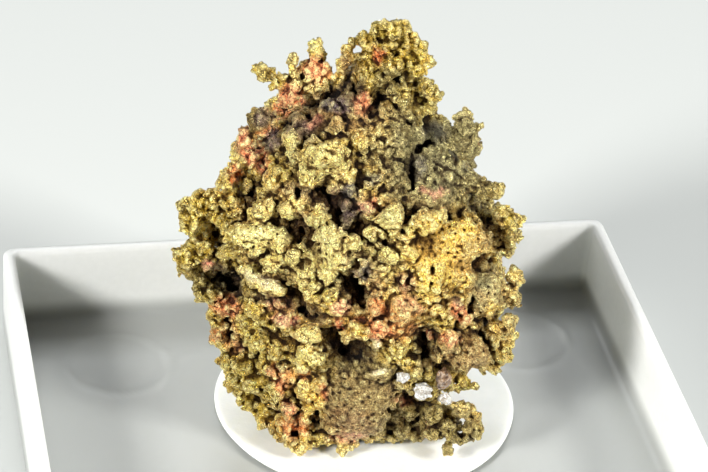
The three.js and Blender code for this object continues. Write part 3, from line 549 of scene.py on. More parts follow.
def clump(field):
    """Clumps with deep crevices between them, and an uneven, hackly swell."""
    band, points, calm = near_surface(field, 0.9)
    depth = field.values[band]

    def rise(share):
        return np.stack((nodules(share, 1.5, SEED + 31), billows(share, 1.3, SEED + 33)), axis=1)

    heads, swell = in_parts(rise, points).T
    fade = smoothstep(-0.9, -0.5, depth)
    rough = 1 - calm
    field.values[band] -= fade * (
        0.24 * rough * (heads - 0.5) + (0.12 + 0.14 * rough) * (swell - 0.45)
    )


def roughen(field):
    """Small grains, the gaps between them, and pits."""
    band, points, calm = near_surface(field, 0.5)
    depth = field.values[band]

    def rise(share):
        pits = smoothstep(0.36, 0.18, grains(share, 0.62, SEED + 35)[0])
        return np.stack((
            nodules(share, 0.7, SEED + 32), nodules(share, 0.36, SEED + 36), pits,
            billows(share, 0.5, SEED + 37),
        ), axis=1)

    heads, grain, pits, swell = in_parts(rise, points).T
    fade = smoothstep(-0.5, -0.25, depth)
    rough = 1 - calm
    field.values[band] -= fade * (
        (0.04 + 0.12 * rough) * (heads - 0.5)
        + (0.05 + 0.04 * rough) * (grain - 0.5)
        + (0.07 + 0.03 * rough) * (swell - 0.4)
        - 0.2 * calm * pits
    )


def shaped_copper():
    """The copper's distance field with everything on it, on the coarse and on the fine grid."""
    values, low = cad_field("native_copper", COARSE, MARGIN)
    coarse = Field(blurred(values, 1) + BASE_INSET, low, COARSE)
    add_forms(coarse)
    add_crystals(coarse, spacing=1.3, small=0.4, large=0.8, sunk=0.65, spare=0.6, seed=SEED)
    clump(coarse)
    fine = Field(doubled(coarse.values), low, FINE)
    add_crystals(fine, spacing=0.5, small=0.16, large=0.36, sunk=0.5, spare=0.45, seed=SEED + 10)
    roughen(fine)
    return fine


# ---- From the field to a mesh ----
def surface_of(field):
    """The field's zero surface as points and triangles."""
    edge = 4 * field.step
    grid = openvdb.FloatGrid(edge)
    grid.copyFromArray(np.clip(field.values, -edge, edge))
    points, triangles, quads = grid.convertToPolygons(isovalue=0, adaptivity=0.04)
    points = points * field.step + field.low
    halves = np.concatenate((quads[:, (0, 1, 2)], quads[:, (0, 2, 3)]))
    triangles = np.concatenate((triangles, halves))[:, ::-1]
    return points.astype(np.float32), triangles.astype(np.int64)


def largest_part(points, triangles):
    """Only the biggest connected piece of a mesh."""
    label = np.arange(len(points))
    a = np.concatenate((triangles[:, 0], triangles[:, 1]))
    b = np.concatenate((triangles[:, 1], triangles[:, 2]))
    while True:
        low = np.minimum(label[a], label[b])
        before = label.copy()
        np.minimum.at(label, a, low)
        np.minimum.at(label, b, low)
        label = np.minimum(label, label[label])
        label = label[label]
        if np.array_equal(label, before):
            break
    biggest = np.bincount(label).argmax()
    kept = triangles[label[triangles[:, 0]] == biggest]
    used = np.unique(kept)
    number = np.zeros(len(points), np.int64)
    number[used] = np.arange(len(used))
    return points[used], number[kept]


def mesh_from(name, points, triangles):
    mesh = bpy.data.meshes.new(name)
    mesh.vertices.add(len(points))
    mesh.vertices.foreach_set("co", points.astype(np.float32).ravel())
    mesh.loops.add(triangles.size)
    mesh.loops.foreach_set("vertex_index", triangles.astype(np.int32).ravel())
    mesh.polygons.add(len(triangles))
    mesh.polygons.foreach_set("loop_start", np.arange(0, triangles.size, 3, dtype=np.int32))
    mesh.update()
    mesh.validate()
    return mesh


def drawn_out(points):
    """Points with the front of the specimen made larger and its back smaller, so that a thinned
    mesh keeps more of the face."""
    size = np.exp(-points[:, 1] / THINNING_DEPTH)
    return np.stack(
        (points[:, 0] * size, THINNING_DEPTH * (1 - size), (points[:, 2] - THINNING_MIDDLE) * size), axis=1
    )


def drawn_in(points):
    """The same points where they were."""
    size = 1 - points[:, 1] / THINNING_DEPTH
    return np.stack(
        (points[:, 0] / size, -THINNING_DEPTH * np.log(size), points[:, 2] / size + THINNING_MIDDLE), axis=1
    )


def decimated(mesh, triangles):
    """A mesh brought down to a number of triangles."""
    thinned = add_object("thinned", mesh)
    thinned.modifiers.new("thin", "DECIMATE").ratio = triangles / len(mesh.polygons)
    found = bpy.context.evaluated_depsgraph_get()
    result = bpy.data.meshes.new_from_object(thinned.evaluated_get(found))
    bpy.data.objects.remove(thinned)
    return result


def points_and_triangles(mesh):
    points = np.empty(len(mesh.vertices) * 3, np.float32)
    mesh.vertices.foreach_get("co", points)
    triangles = np.empty(len(mesh.loops), np.int32)
    mesh.loops.foreach_get("vertex_index", triangles)
    return points.reshape(-1, 3), triangles.reshape(-1, 3)


# ---- The copper's colours ----
def linear(red, green, blue):
    """A colour given in 0 to 255 display values, as linear light."""
    shown = np.array((red, green, blue)) / 255
    return np.where(shown <= 0.04045, shown / 12.92, ((shown + 0.055) / 1.055) ** 2.4)


BRASS = linear(246, 220, 124)
PALE_BRASS = linear(255, 245, 180)
OLIVE = linear(200, 178, 74)
OCHRE = linear(246, 206, 104)
BROWN = linear(140, 106, 80)
DARK_BROWN = linear(78, 58, 52)
SALMON = linear(244, 150, 114)
RED = linear(222, 84, 56)
PINK = linear(238, 164, 150)
VIOLET_GREY = linear(108, 90, 112)
BLUE_GREY = linear(116, 118, 132)
GREY_GREEN = linear(146, 148, 116)
GREY_OLIVE = linear(170, 154, 112)
DARK_OLIVE = linear(128, 118, 78)
MOSS = linear(164, 144, 56)
DUST = linear(142, 122, 84)
# white for painted highlights
WHITE_HIGHLIGHT = linear(255, 250, 226)
WHITE = (1.0, 1.0, 1.0)

# Coloured places on the face: across, up, half width, half height, lean, colour, strength,
# and how metallic the place is.
TINTS = [
    # broad zones first
    (-5, 22.5, 8, 5, 0, PALE_BRASS, 0.55, 1), (3.8, 30, 5.8, 5.6, -10, GREY_OLIVE, 0.85, 0.8),
    (4.6, 30, 4.6, 4.6, 0, GREY_GREEN, 0.7, 0.75), (8.2, 27.2, 2.4, 3, 0, DARK_OLIVE, 0.8, 0.75),
    (2, 28.4, 2.2, 3.2, 0, DARK_OLIVE, 0.6, 0.75), (3.4, 34.4, 2.4, 2.4, 0, OLIVE, 0.5, 0.9),
    (6.4, 31.4, 1.6, 2, 0, DARK_OLIVE, 0.7, 0.75), (-14.6, 22, 3.4, 5.6, 0, OLIVE, 0.8, 0.9),
    (-15.2, 17.6, 2.4, 2.6, 0, DARK_OLIVE, 0.7, 0.85), (-11.5, 14, 3.4, 7, 10, OLIVE, 0.6, 0.9),
    (-0.2, 6.2, 4.8, 6.4, 0, DUST, 0.9, 0.65), (-0.6, 10.6, 3.2, 1.3, 0, DARK_OLIVE, 0.7, 0.65),
    (-1.6, 3.4, 3, 2.4, 0, BROWN, 0.5, 0.7), (-9.6, 6.4, 2.2, 5, 12, OLIVE, 0.6, 0.9),
    (6.4, 22.6, 4.4, 3.6, 10, OCHRE, 0.8, 0.9), (8, 22, 1.8, 2, 0, BROWN, 0.45, 0.8),
    (9.7, 18.8, 1.9, 3, -4, GREY_OLIVE, 0.85, 0.75), (8.6, 12.9, 3, 2.4, 0, BROWN, 0.55, 0.7),
    (12, 20, 1.3, 6.5, 0, GREY_OLIVE, 0.5, 0.85), (6.8, 3.2, 5.6, 4.2, 0, DARK_OLIVE, 0.85, 0.7),
    (-0.2, 37.2, 4.2, 3.6, 0, MOSS, 0.7, 0.9), (1.6, 36.4, 1.2, 2.2, 0, OLIVE, 0.7, 0.95),
    (0.2, 35.2, 2, 1.2, 20, DARK_OLIVE, 0.8, 0.8), (-4.6, 32.9, 5, 1.9, 0, BROWN, 0.75, 0.65),
    (-3.2, 34.2, 1.7, 1.3, 0, DARK_BROWN, 0.85, 0.6), (-7.2, 31.6, 1.5, 1.2, 0, DARK_BROWN, 0.6, 0.65),
    (1.2, 32.4, 1.7, 1.5, 0, DARK_OLIVE, 0.75, 0.75), (-0.4, 30, 1.5, 1.5, 0, DARK_OLIVE, 0.6, 0.8),
    (-2.8, 25.8, 2.2, 1.7, -20, VIOLET_GREY, 0.7, 0.75), (-11.4, 31.8, 1.6, 1.6, 0, DARK_BROWN, 0.7, 0.7),
    (-1, 18.4, 2.2, 3.8, 0, BROWN, 0.7, 0.7), (-1.4, 12.2, 2.6, 1.5, 0, DARK_BROWN, 0.7, 0.6),
    (1, 15.6, 3.6, 2.2, 0, OCHRE, 0.4, 0.85), (9.8, 24.2, 1.6, 1.6, 0, BROWN, 0.65, 0.7),
    (8.2, 12.4, 3.4, 2.6, 0, BROWN, 0.5, 0.7), (-12.4, 18.4, 1.6, 2.6, 36, DARK_BROWN, 0.9, 0.6),
    (4.8, 12.6, 1.2, 3, -4, DARK_BROWN, 0.7, 0.6), (-5.6, 26.4, 4.4, 0.9, -6, BROWN, 0.7, 0.7),
    (-2.6, 24.6, 0.9, 1.6, -10, VIOLET_GREY, 0.6, 0.75), (-6.4, 23.6, 0.5, 1.4, 0, BROWN, 0.7, 0.7),
    (-5, 15.8, 1.6, 0.9, -30, DARK_BROWN, 0.8, 0.6), (-6.8, 31.2, 2.2, 1.2, 0, VIOLET_GREY, 0.5, 0.7),
    (-2.6, 31.2, 1.8, 0.7, 10, BROWN, 0.4, 0.7),
    # salmon, pink and red
    (-6.2, 35.8, 1.7, 1.2, 0, SALMON, 0.85, 0.6), (-7.9, 33.7, 1.1, 1.1, 20, SALMON, 0.9, 0.6),
    (-9, 32.9, 0.9, 0.8, 0, SALMON, 0.8, 0.6), (-11, 29.4, 1.1, 2.4, 38, SALMON, 0.95, 0.55),
    (-9.7, 30.9, 0.9, 0.7, 0, RED, 0.6, 0.55), (-12.3, 27.6, 0.6, 0.9, 20, RED, 0.7, 0.55),
    (-6, 32, 0.9, 0.6, 0, PINK, 0.7, 0.6), (-2, 33.6, 0.8, 1, 20, SALMON, 0.7, 0.6),
    (-1.2, 37, 0.6, 1.1, 20, RED, 0.7, 0.6), (-3.6, 36.2, 0.7, 1.1, 0, BROWN, 0.7, 0.7),
    (-0.9, 25.7, 1.1, 0.8, 0, PINK, 0.85, 0.6), (-0.4, 26.3, 0.5, 0.4, 0, RED, 0.7, 0.5),
    (4.4, 27.3, 1.5, 0.4, 12, PINK, 0.7, 0.6), (-14.1, 19.9, 0.7, 0.6, 0, PINK, 0.8, 0.6),
    (-12.4, 15.7, 1.5, 1.3, 0, SALMON, 0.8, 0.6), (-13.4, 12.6, 0.9, 0.9, 0, SALMON, 0.6, 0.6),
    (-7.3, 14.8, 1.3, 0.8, 0, PINK, 0.85, 0.55), (-7.9, 16.3, 1.6, 0.8, 0, PINK, 0.6, 0.75),
    (-9.2, 17, 1.6, 0.6, 0, VIOLET_GREY, 0.5, 0.7), (-2.7, 16.6, 0.9, 1.1, 0, PINK, 0.75, 0.6),
    (-2.6, 14.9, 0.7, 0.7, 0, RED, 0.9, 0.5), (-1, 15.4, 0.7, 0.5, 0, RED, 0.6, 0.5),
    (0.7, 14.4, 1.2, 1.4, 30, SALMON, 0.75, 0.7), (3, 17.4, 1.6, 0.9, -20, PINK, 0.6, 0.6),
    (2.6, 19.4, 1, 1.2, 0, PINK, 0.6, 0.7), (7.6, 16.8, 0.8, 1.5, 52, SALMON, 0.85, 0.55),
    (6.7, 14.3, 1.1, 1, 0, SALMON, 0.8, 0.55), (5, 14.4, 0.5, 0.5, 0, SALMON, 0.8, 0.5),
    (-6.5, 4.8, 0.9, 0.9, 0, SALMON, 0.95, 0.5), (-7.5, 7, 0.6, 1.2, 20, SALMON, 0.7, 0.6),
    (-8.1, 9.2, 0.5, 1, -10, RED, 0.5, 0.6), (-3.6, 7.2, 0.5, 1.2, 0, RED, 0.5, 0.6),
    (-1.4, 1.9, 2, 0.7, 12, PINK, 0.45, 0.7), (3.3, 6.6, 0.9, 0.7, 0, SALMON, 0.7, 0.6),
    (-11, 11.4, 0.6, 0.9, 0, SALMON, 0.7, 0.6), (-5.4, 9, 0.6, 0.8, 0, RED, 0.5, 0.6),
    (11, 15, 0.7, 1, 0, BROWN, 0.3, 0.7), (-5.8, 2.8, 1.6, 1.8, 0, RED, 0.6, 0.6),
    (-4.4, 5.6, 0.9, 2.6, 0, OCHRE, 0.9, 0.8), (-7.2, 8.4, 1.4, 1.6, 20, SALMON, 0.55, 0.6),
    (-12, 12.6, 1.2, 2.4, 10, SALMON, 0.5, 0.6), (2, 15.4, 2.6, 1.6, -20, SALMON, 0.5, 0.65),
    (2.3, 17.2, 1.2, 1, 0, BROWN, 0.45, 0.7), (0.6, 17, 1, 1, 0, RED, 0.5, 0.6),
    # violet and blue-grey nodules
    (-5, 33.3, 0.8, 0.7, 0, BLUE_GREY, 0.85, 0.75), (-4, 33.2, 0.8, 0.8, 0, VIOLET_GREY, 0.8, 0.75),
    (-9.5, 30.3, 0.9, 1.1, 0, VIOLET_GREY, 0.85, 0.75), (-10.2, 32.2, 0.9, 0.8, 0, VIOLET_GREY, 0.6, 0.75),
    (-2.6, 26.9, 0.8, 0.8, 0, BLUE_GREY, 0.85, 0.8), (-1, 27.8, 0.9, 0.7, 0, BLUE_GREY, 0.7, 0.8),
    (-0.9, 20.3, 0.7, 1.2, 0, BLUE_GREY, 0.7, 0.8), (-1.9, 20, 0.5, 0.8, 0, VIOLET_GREY, 0.7, 0.8),
    (2.9, 29, 0.8, 1.2, 0, BLUE_GREY, 0.5, 0.8), (4.2, 31.9, 1.3, 1, 0, BLUE_GREY, 0.45, 0.8),
    (7, 17.9, 0.9, 0.5, -30, VIOLET_GREY, 0.6, 0.7), (9.2, 20.2, 0.8, 1, 0, GREY_GREEN, 0.6, 0.7),
    (-2.6, 21, 0.4, 0.7, 0, BLUE_GREY, 0.4, 0.8), (-3, 12.9, 0.8, 0.5, 0, VIOLET_GREY, 0.6, 0.7),
    # the brightest places: pale brass, partly the metal's own pale tone and partly painted highlight, and
    # white painted highlights
    (-9.3, 18.7, 2.2, 0.9, -25, WHITE_HIGHLIGHT, 0.65, 0.85), (-4.2, 22.6, 1.3, 1.9, 0, PALE_BRASS, 0.8, 1),
    (-7.5, 29.6, 0.6, 1.7, 6, PALE_BRASS, 0.9, 1), (-4.6, 28.9, 2.4, 1.8, 0, PALE_BRASS, 0.6, 1),
    (-9.6, 22.8, 2.9, 1, 5, PALE_BRASS, 0.8, 1), (1, 25, 1.1, 1, 0, PALE_BRASS, 0.8, 1),
    (-0.9, 14.6, 0.9, 0.8, 0, OCHRE, 0.8, 0.9), (0.6, 13.2, 0.6, 0.5, 0, WHITE_HIGHLIGHT, 0.85, 0.5),
    (1.2, 9.9, 0.9, 0.4, 30, WHITE_HIGHLIGHT, 0.7, 0.5), (-5.2, 13.4, 0.9, 0.9, 0, PALE_BRASS, 0.5, 1),
    (-5, 11.3, 1.3, 0.9, 0, PALE_BRASS, 0.5, 1), (10.3, 17, 0.8, 1.2, 0, OCHRE, 0.7, 0.95),
    (-6.4, 35, 0.4, 0.4, 0, PALE_BRASS, 0.5, 1), (-7.4, 34.9, 0.9, 0.7, 0, PALE_BRASS, 0.6, 1),
]
# What the sides and the back show, where no place is listed.
SCATTERED_TINTS = [
    (OLIVE, 0.8), (BROWN, 0.75), (SALMON, 0.8), (GREY_OLIVE, 0.7), (OCHRE, 0.6), (VIOLET_GREY, 0.6),
]


def surface_colours(points, normals):
    """The copper's base colour at its points and how metallic it is there."""
    count = len(points)
    warp = np.stack([smooth_noise(points, 1.1, SEED + 60 + i) for i in range(2)], axis=1)
    warp += 0.6 * np.stack([smooth_noise(points, 0.45, SEED + 64 + i) for i in range(2)], axis=1)
    mottle = smooth_noise(points, 2.6, SEED + 68)[:, None]
    fine = smooth_noise(points, 0.5, SEED + 69)[:, None]
    colour = BRASS + (OLIVE - BRASS) * np.clip(0.45 + 0.7 * mottle, 0, 1)
    colour = colour + (BROWN - colour) * 0.5 * np.clip(fine, 0, 1)
    metal = np.full(count, 0.8, np.float32)

    front = smoothstep(-0.25, 0.2, facing_of(normals))
    up = layout_up(points)
    for i, (tint, strength) in enumerate(SCATTERED_TINTS):
        patch = smoothstep(0.18, 0.55, smooth_noise(points, 3.4 - 0.3 * i, SEED + 80 + i))
        patch = patch * strength * (1 - 0.85 * front)
        colour = colour + (tint - colour) * patch[:, None]
        metal = metal + (0.75 - metal) * patch * 0.8
    for across, high, wide, tall, lean, tint, strength, shine in TINTS:
        turn = math.radians(lean)
        x = points[:, 0] - across + 0.35 * warp[:, 0]
        y = up - high + 0.35 * warp[:, 1]
        a = (x * math.cos(turn) + y * math.sin(turn)) / wide
        b = (-x * math.sin(turn) + y * math.cos(turn)) / tall
        patch = (1 - smoothstep(0.55, 1.15, np.hypot(a, b))) * strength * front
        colour = colour + (tint - colour) * patch[:, None]
        metal = metal + (shine - metal) * patch
    return colour.astype(np.float32), metal.astype(np.float32)


def shelter_of(field, radius):
    """How much of its surroundings is solid at each grid point: above a half in hollows."""
    solid = np.clip(0.5 - field.values / (2 * field.step), 0, 1)
    return Field(blurred(solid, radius, 2), field.low, field.step)


def add_values(mesh, name, values):
    """Keeps a number or a colour for each point of a mesh."""
    kind, key = ("FLOAT_COLOR", "color") if values.ndim == 2 else ("FLOAT", "value")
    made = mesh.attributes.new(name, kind, "POINT")
    if values.ndim == 2:
        values = np.concatenate((values, np.ones((len(values), 1))), axis=1)
    made.data.foreach_set(key, values.astype(np.float32).ravel())


# ---- Materials ----


class Material:
    """A material of nodes. Each short method adds a node and gives its output."""

    def __init__(self, name):
        self.made = bpy.data.materials.new(name)
        self.made.use_nodes = True
        self.tree = self.made.node_tree
        self.tree.nodes.clear()

    def put(self, node, inputs):
        """Sets a node's inputs to values, or links them to other nodes' outputs."""
        for socket, value in inputs.items():
            if isinstance(value, bpy.types.NodeSocket):
                self.tree.links.new(value, node.inputs[socket])
            else:
                node.inputs[socket].default_value = value

    def add(self, kind, output, inputs, **settings):
        node = self.tree.nodes.new("ShaderNode" + kind)
        for name, value in settings.items():
            setattr(node, name, value)
        self.put(node, inputs)
        return node.outputs[output]

    def finished(self, inputs):
        """The material, with a shader that has these inputs."""
        shader = self.tree.nodes.new("ShaderNodeBsdfPrincipled")
        self.put(shader, inputs)
        output = self.tree.nodes.new("ShaderNodeOutputMaterial")
        self.put(output, {"Surface": shader.outputs[0]})
        return self.made

    def place(self, scale):
        """Object coordinates, times a scale."""
        return self.add(
            "Mapping", 0, {"Vector": self.add("TexCoord", "Object", {}), "Scale": (scale, scale, scale)}
        )

    def height(self, place):
        return self.add("SeparateXYZ", "Z", {0: place})

    def noise(self, place, scale, detail=4.0, rough=0.55, twist=0.0, output="Fac"):
        inputs = {"Vector": place, "Scale": scale, "Detail": detail, "Roughness": rough, "Distortion": twist}
        return self.add("TexNoise", output, inputs)

    def bent(self, place, scale, amount):
        """A place pushed about by noise."""
        push = self.noise(place, scale, 2.0, 0.5, 0.0, "Color")
        inputs = {0: push, 1: (amount, amount, amount), 2: place}
        return self.add("VectorMath", 0, inputs, operation="MULTIPLY_ADD")

    def cells(self, place, scale, feature="F1", output="Distance"):
        return self.add("TexVoronoi", output, {"Vector": place, "Scale": scale}, feature=feature)

    def math(self, operation, a, b):
        return self.add("Math", 0, {0: a, 1: b}, operation=operation)

    def times(self, a, b):
        return self.math("MULTIPLY", a, b)

    def spread(self, value, low, high, to_low=0.0, to_high=1.0):
        inputs = dict(enumerate((value, low, high, to_low, to_high)))
        return self.add("MapRange", 0, inputs, interpolation_type="SMOOTHSTEP")

    def mix(self, share, a, b, blend="MIX"):
        inputs = {0: share}
        for socket, colour in ((6, a), (7, b)):  # the mix node's two colour sockets
            inputs[socket] = colour if isinstance(colour, bpy.types.NodeSocket) else (*colour, 1.0)
        return self.add("Mix", 2, inputs, data_type="RGBA", blend_type=blend)

    def shade(self, colour, share, value, low, high, at_low, at_high):
        """A colour multiplied, by a share, with a tint that follows a value from low to high."""
        tint = self.mix(self.spread(value, low, high), at_low, at_high)
        return self.mix(share, colour, tint, "MULTIPLY")

    def value(self, name, output="Fac"):
        """A value kept at the mesh's points."""
        return self.add("Attribute", output, {}, attribute_name=name)

    def bump(self, height, strength, distance):
        return self.add("Bump", 0, {"Height": height, "Strength": strength, "Distance": distance})


def copper_material():
    n = Material("tarnished_native_copper")
    place = n.place(1 / MM)
    tone = n.value("tone", "Color")
    shelter = n.value("shelter")
    rough = n.math("SUBTRACT", 1.0, n.value("calm"))

    # packed heads of two sizes with thin gaps between them, and grit on them
    bent = n.bent(n.bent(place, 1.3, 0.5), 4.0, 0.14)
    head = n.cells(bent, 1.6)
    head_gap = n.cells(bent, 1.6, "DISTANCE_TO_EDGE")
    head_kind = n.cells(bent, 1.6, "F1", "Color")
    bud = n.cells(bent, 3.3)
    bud_gap = n.cells(bent, 3.3, "DISTANCE_TO_EDGE")
    speck = n.noise(place, 3.2, 5.0, 0.7, 0.4)
    grit = n.noise(place, 6.0, 3.0, 0.7, 0.3)
    blotch = n.noise(place, 1.1, 4.0, 0.65)

    # broken colour: each head its own tone at random, warm stains, and painted shade and light that follow
    # the bump: dark specks in its low points, grit darker in its low points and lighter on its high points
    colour = n.shade(tone, n.times(rough, 0.7), head_kind, 0.1, 0.6, (0.5, 0.4, 0.34), (1.25, 1.22, 1.15))
    # painted shade: dark specks where the bump is low
    colour = n.shade(colour, 0.55, speck, 0.36, 0.47, (0.3, 0.2, 0.14), (1.05, 1.05, 1.05))
    # painted light and shade: grit darker where the bump is low and lighter where it is high
    colour = n.shade(colour, 0.7, grit, 0.41, 0.49, (0.16, 0.11, 0.09), (1.4, 1.38, 1.3))
    colour = n.shade(colour, 0.4, blotch, 0.5, 0.7, WHITE, (1.0, 0.76, 0.56))

    # pale open tops of the heads, partly wear and partly painted highlight, and painted glints
    wear_and_highlight = n.times(n.spread(shelter, 0.54, 0.36), n.spread(head, 0.6, 0.2, 0.3, 1.0))
    wear_and_highlight = n.times(wear_and_highlight, n.spread(tone, 0.15, 0.5, 0.2, 0.8))
    colour = n.mix(wear_and_highlight, colour, PALE_BRASS)
    # painted glints: pale specks on the high points of the bump where the surface is open
    painted_glint = n.times(n.spread(speck, 0.54, 0.6), n.spread(shelter, 0.54, 0.46, 0.0, 0.75))
    painted_glint = n.times(painted_glint, n.spread(tone, 0.12, 0.45, 0.45, 1.0))
    colour = n.mix(painted_glint, colour, PALE_BRASS)

    # painted shade: dark dots for small pits in the calm places, darkening in the gaps between heads and in
    # crevices and hollows, and open places a little lighter
    gap_shade_share = n.times(rough, n.spread(blotch, 0.4, 0.6, 0.9, 0.3))
    pit_shade_share = n.math("SUBTRACT", 1.0, rough)
    # painted shade: dark dots for small pits where the surface is calm
    colour = n.shade(colour, pit_shade_share, n.cells(bent, 2.4), 0.34, 0.16, WHITE, (0.3, 0.22, 0.16))
    # painted shade in the gaps between heads
    colour = n.shade(colour, gap_shade_share, head_gap, 0.01, 0.09, (0.12, 0.08, 0.06), WHITE)
    colour = n.shade(colour, 0.5, bud_gap, 0.01, 0.12, (0.2, 0.14, 0.1), WHITE)
    # painted shade in crevices and hollows, from how enclosed each point is; open places a little lighter
    colour = n.shade(colour, 0.96, shelter, 0.49, 0.62, WHITE, (0.1, 0.065, 0.05))
    colour = n.shade(colour, 0.97, n.value("deep"), 0.46, 0.66, (1.15, 1.15, 1.12), (0.2, 0.15, 0.14))

    height = n.times(speck, 0.5)
    for part, weight in ((grit, 0.6), (bud, -0.3), (n.times(head, rough), -0.6)):
        height = n.math("ADD", height, n.times(part, weight))
    dull = n.spread(shelter, 0.5, 0.62, 0.0, 0.3)
    return n.finished({
        "Base Color": colour,
        "Metallic": n.value("metal"),
        "Roughness": n.math("ADD", n.spread(grit, 0.38, 0.62, 0.44, 0.24), dull),
        "Normal": n.bump(height, 1.0, 0.0004),
    })


# ---- The copper ----
def add_object(name, data):
    made = bpy.data.objects.new(name, data)
    bpy.context.scene.collection.objects.link(made)
    return made


def settle(mesh, material, node):
    """Brings a mesh from the specimen's frame to the world, in the place of its CAD solid."""
    turn = np.array(TO_WORLD)
    points, _ = points_and_triangles(mesh)
    placed = points @ turn[:3, :3].T + turn[:3, 3]
    mesh.vertices.foreach_set("co", placed.astype(np.float32).ravel())
    mesh.shade_smooth()
    mesh.materials.append(material)
    made = add_object(mesh.name, mesh)
    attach(made, "root")
    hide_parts(node)


def make_copper():
    field = shaped_copper()
    points, triangles = surface_of(field)
    thinned = decimated(mesh_from("copper_grid", drawn_out(points), triangles), TRIANGLES)
    points, triangles = points_and_triangles(thinned)
    points, triangles = largest_part(drawn_in(points), triangles)
    mesh = mesh_from("native_copper_growth", points, triangles)
    normals = field.slope(points)
    colour, metal = surface_colours(points, normals)
    add_values(mesh, "tone", colour)
    add_values(mesh, "metal", metal)
    add_values(mesh, "calm", calmness(points, facing_of(normals)))
    add_values(mesh, "shelter", shelter_of(field, 2).at(points))
    halved = Field(field.values[::2, ::2, ::2], field.low, COARSE)
    add_values(mesh, "deep", shelter_of(halved, 6).at(points))
    settle(mesh, copper_material(), "native_copper")


make_copper()


# ---- The tray ----
TRAY_CORNER = 1.2
TRAY_FLOOR = 1.2
FOOT_RING_OFFSET = 18.8
FOOT_RING_RADIUS = 4.7
FOOT_RING_WIDTH = 0.28
FOOT_RING_RISE = 0.07
SIDE_STEPS = 72
CORNER_STEPS = 7
INNER_CORNER = 0.5
INWARD_CORNER = 0.55  # how fast the corners tighten inwards
FLOOR_STEP = 0.28
# The wall's section: how far in from the outside, and the height.
TRAY_SECTION = [
    (0.7, 0.02), (0.3, 0.04), (0.1, 0.14), (0.0, 0.4), (0.0, 4.0), (0.0, 7.7), (0.04, 7.98), (0.16, 8.14),
    (0.34, 8.2), (0.72, 8.2), (0.92, 8.14), (1.05, 7.98), (1.1, 7.7), (1.14, 4.5), (1.18, 2.2),
    (1.3, 1.62), (1.55, 1.32), (1.95, 1.2),
]


def rounded_square(half, corner):
    """The outline of a rounded square, the same number of points whatever its size."""
    points = []
    middle = half - corner
    for turn in range(4):
        angle = turn * math.pi / 2
        along_x = math.cos(angle)
        along_y = math.sin(angle)
        for step in range(CORNER_STEPS):
            bend = angle + step / CORNER_STEPS * math.pi / 2
            points.append((
                middle * (along_x - along_y) + corner * math.cos(bend),
                middle * (along_y + along_x) + corner * math.sin(bend),
            ))
        for step in range(SIDE_STEPS):
            along = middle * (1 - 2 * step / SIDE_STEPS)
            points.append((along * along_x - half * along_y, half * along_x + along * along_y))
    return points


def lofted(name, loops):
    """A closed piece skinned over loops of equally many points, in millimetres in world axes."""
    shape = bmesh.new()
    rows = [[shape.verts.new(Vector(point) * MM) for point in loop] for loop in loops]
    for low, high in zip(rows, rows[1:]):
        for i in range(len(low)):
            j = (i + 1) % len(low)
            shape.faces.new((low[i], low[j], high[j], high[i]))
    shape.faces.new(list(reversed(rows[0])))
    shape.faces.new(rows[-1])
    bmesh.ops.recalc_face_normals(shape, faces=shape.faces)
    mesh = bpy.data.meshes.new(name)
    shape.to_mesh(mesh)
    shape.free()
    mesh.shade_smooth()
    return add_object(name, mesh)


def ring_rise(x, y):
    """How far the foot rings under the corners lift the tray's floor."""
    away = math.hypot(abs(x) - FOOT_RING_OFFSET, abs(y) - FOOT_RING_OFFSET) - FOOT_RING_RADIUS
    return FOOT_RING_RISE * math.exp(-((away / FOOT_RING_WIDTH) ** 2))


def tray_material():
    n = Material("white_tray_plastic")
    place = n.place(1 / MM)
    cloud = n.spread(n.noise(place, 0.08, 3.0), 0.3, 0.7)
    fine = n.noise(place, 1.6, 4.0)
    # painted light and shade: one plastic with a darker floor colour standing in for the shade on the floor,
    # and a lighter wall colour standing in for light coming through the walls
    floor = n.mix(cloud, (0.38, 0.395, 0.385), (0.39, 0.405, 0.395))
    wall = n.mix(n.spread(fine, 0.3, 0.7), (0.68, 0.695, 0.685), (0.7, 0.715, 0.705))
    return n.finished({
        "Base Color": n.mix(n.spread(n.height(place), 1.3, 3.0), floor, wall),
        "Roughness": n.spread(n.noise(place, 0.35, 5.0), 0.2, 0.8, 0.3, 0.36),
        "Normal": n.bump(fine, 0.1, 0.00001),
        "Subsurface Weight": 0.7,
        "Subsurface Radius": (1.0, 1.0, 0.95),
        "Subsurface Scale": 0.003,
        "IOR": 1.49,
    })


def make_tray():
    half = (tray_high.x - tray_low.x) / 2 / MM
    middle_x = (tray_high.x + tray_low.x) / 2 / MM
    middle_y = (tray_high.y + tray_low.y) / 2 / MM
    outlines = [
        (rounded_square(half - inset, max(TRAY_CORNER - INWARD_CORNER * inset, INNER_CORNER)), height)
        for inset, height in TRAY_SECTION
    ]
    inset = TRAY_SECTION[-1][0]
    while inset < half - 1:
        inset += FLOOR_STEP
        outlines.append((rounded_square(half - inset, INNER_CORNER), None))
    tray = lofted("moulded_tray", [
        [(middle_x + x, middle_y + y, height or TRAY_FLOOR + ring_rise(x, y)) for x, y in outline]
        for outline, height in outlines
    ])
    tray.data.materials.append(tray_material())
    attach(tray, "root")
    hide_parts("display_tray")


# ---- The tack disc ----
DISC_SIDES = 180
EDGE_STEPS = 9  # points on the rounded edge of the section
TOP_STEPS = 40
EDGE_WOBBLE = 0.008  # of the radius
TOP_DENTS = 0.04


def tack_material():
    n = Material("white_mineral_tack")
    place = n.place(1 / MM)
    cloud = n.spread(n.noise(place, 0.35, 4.0), 0.3, 0.7)
    return n.finished({
        "Base Color": n.mix(cloud, (0.79, 0.81, 0.76), (0.84, 0.85, 0.81)),
        "Roughness": n.spread(n.noise(place, 1.4, 4.0), 0.3, 0.7, 0.42, 0.6),
        "Normal": n.bump(n.noise(place, 2.2, 5.0), 0.25, 0.00012),
        "Subsurface Weight": 0.5,
        "Subsurface Radius": (1.0, 0.9, 0.7),
        "Subsurface Scale": 0.0015,
    })


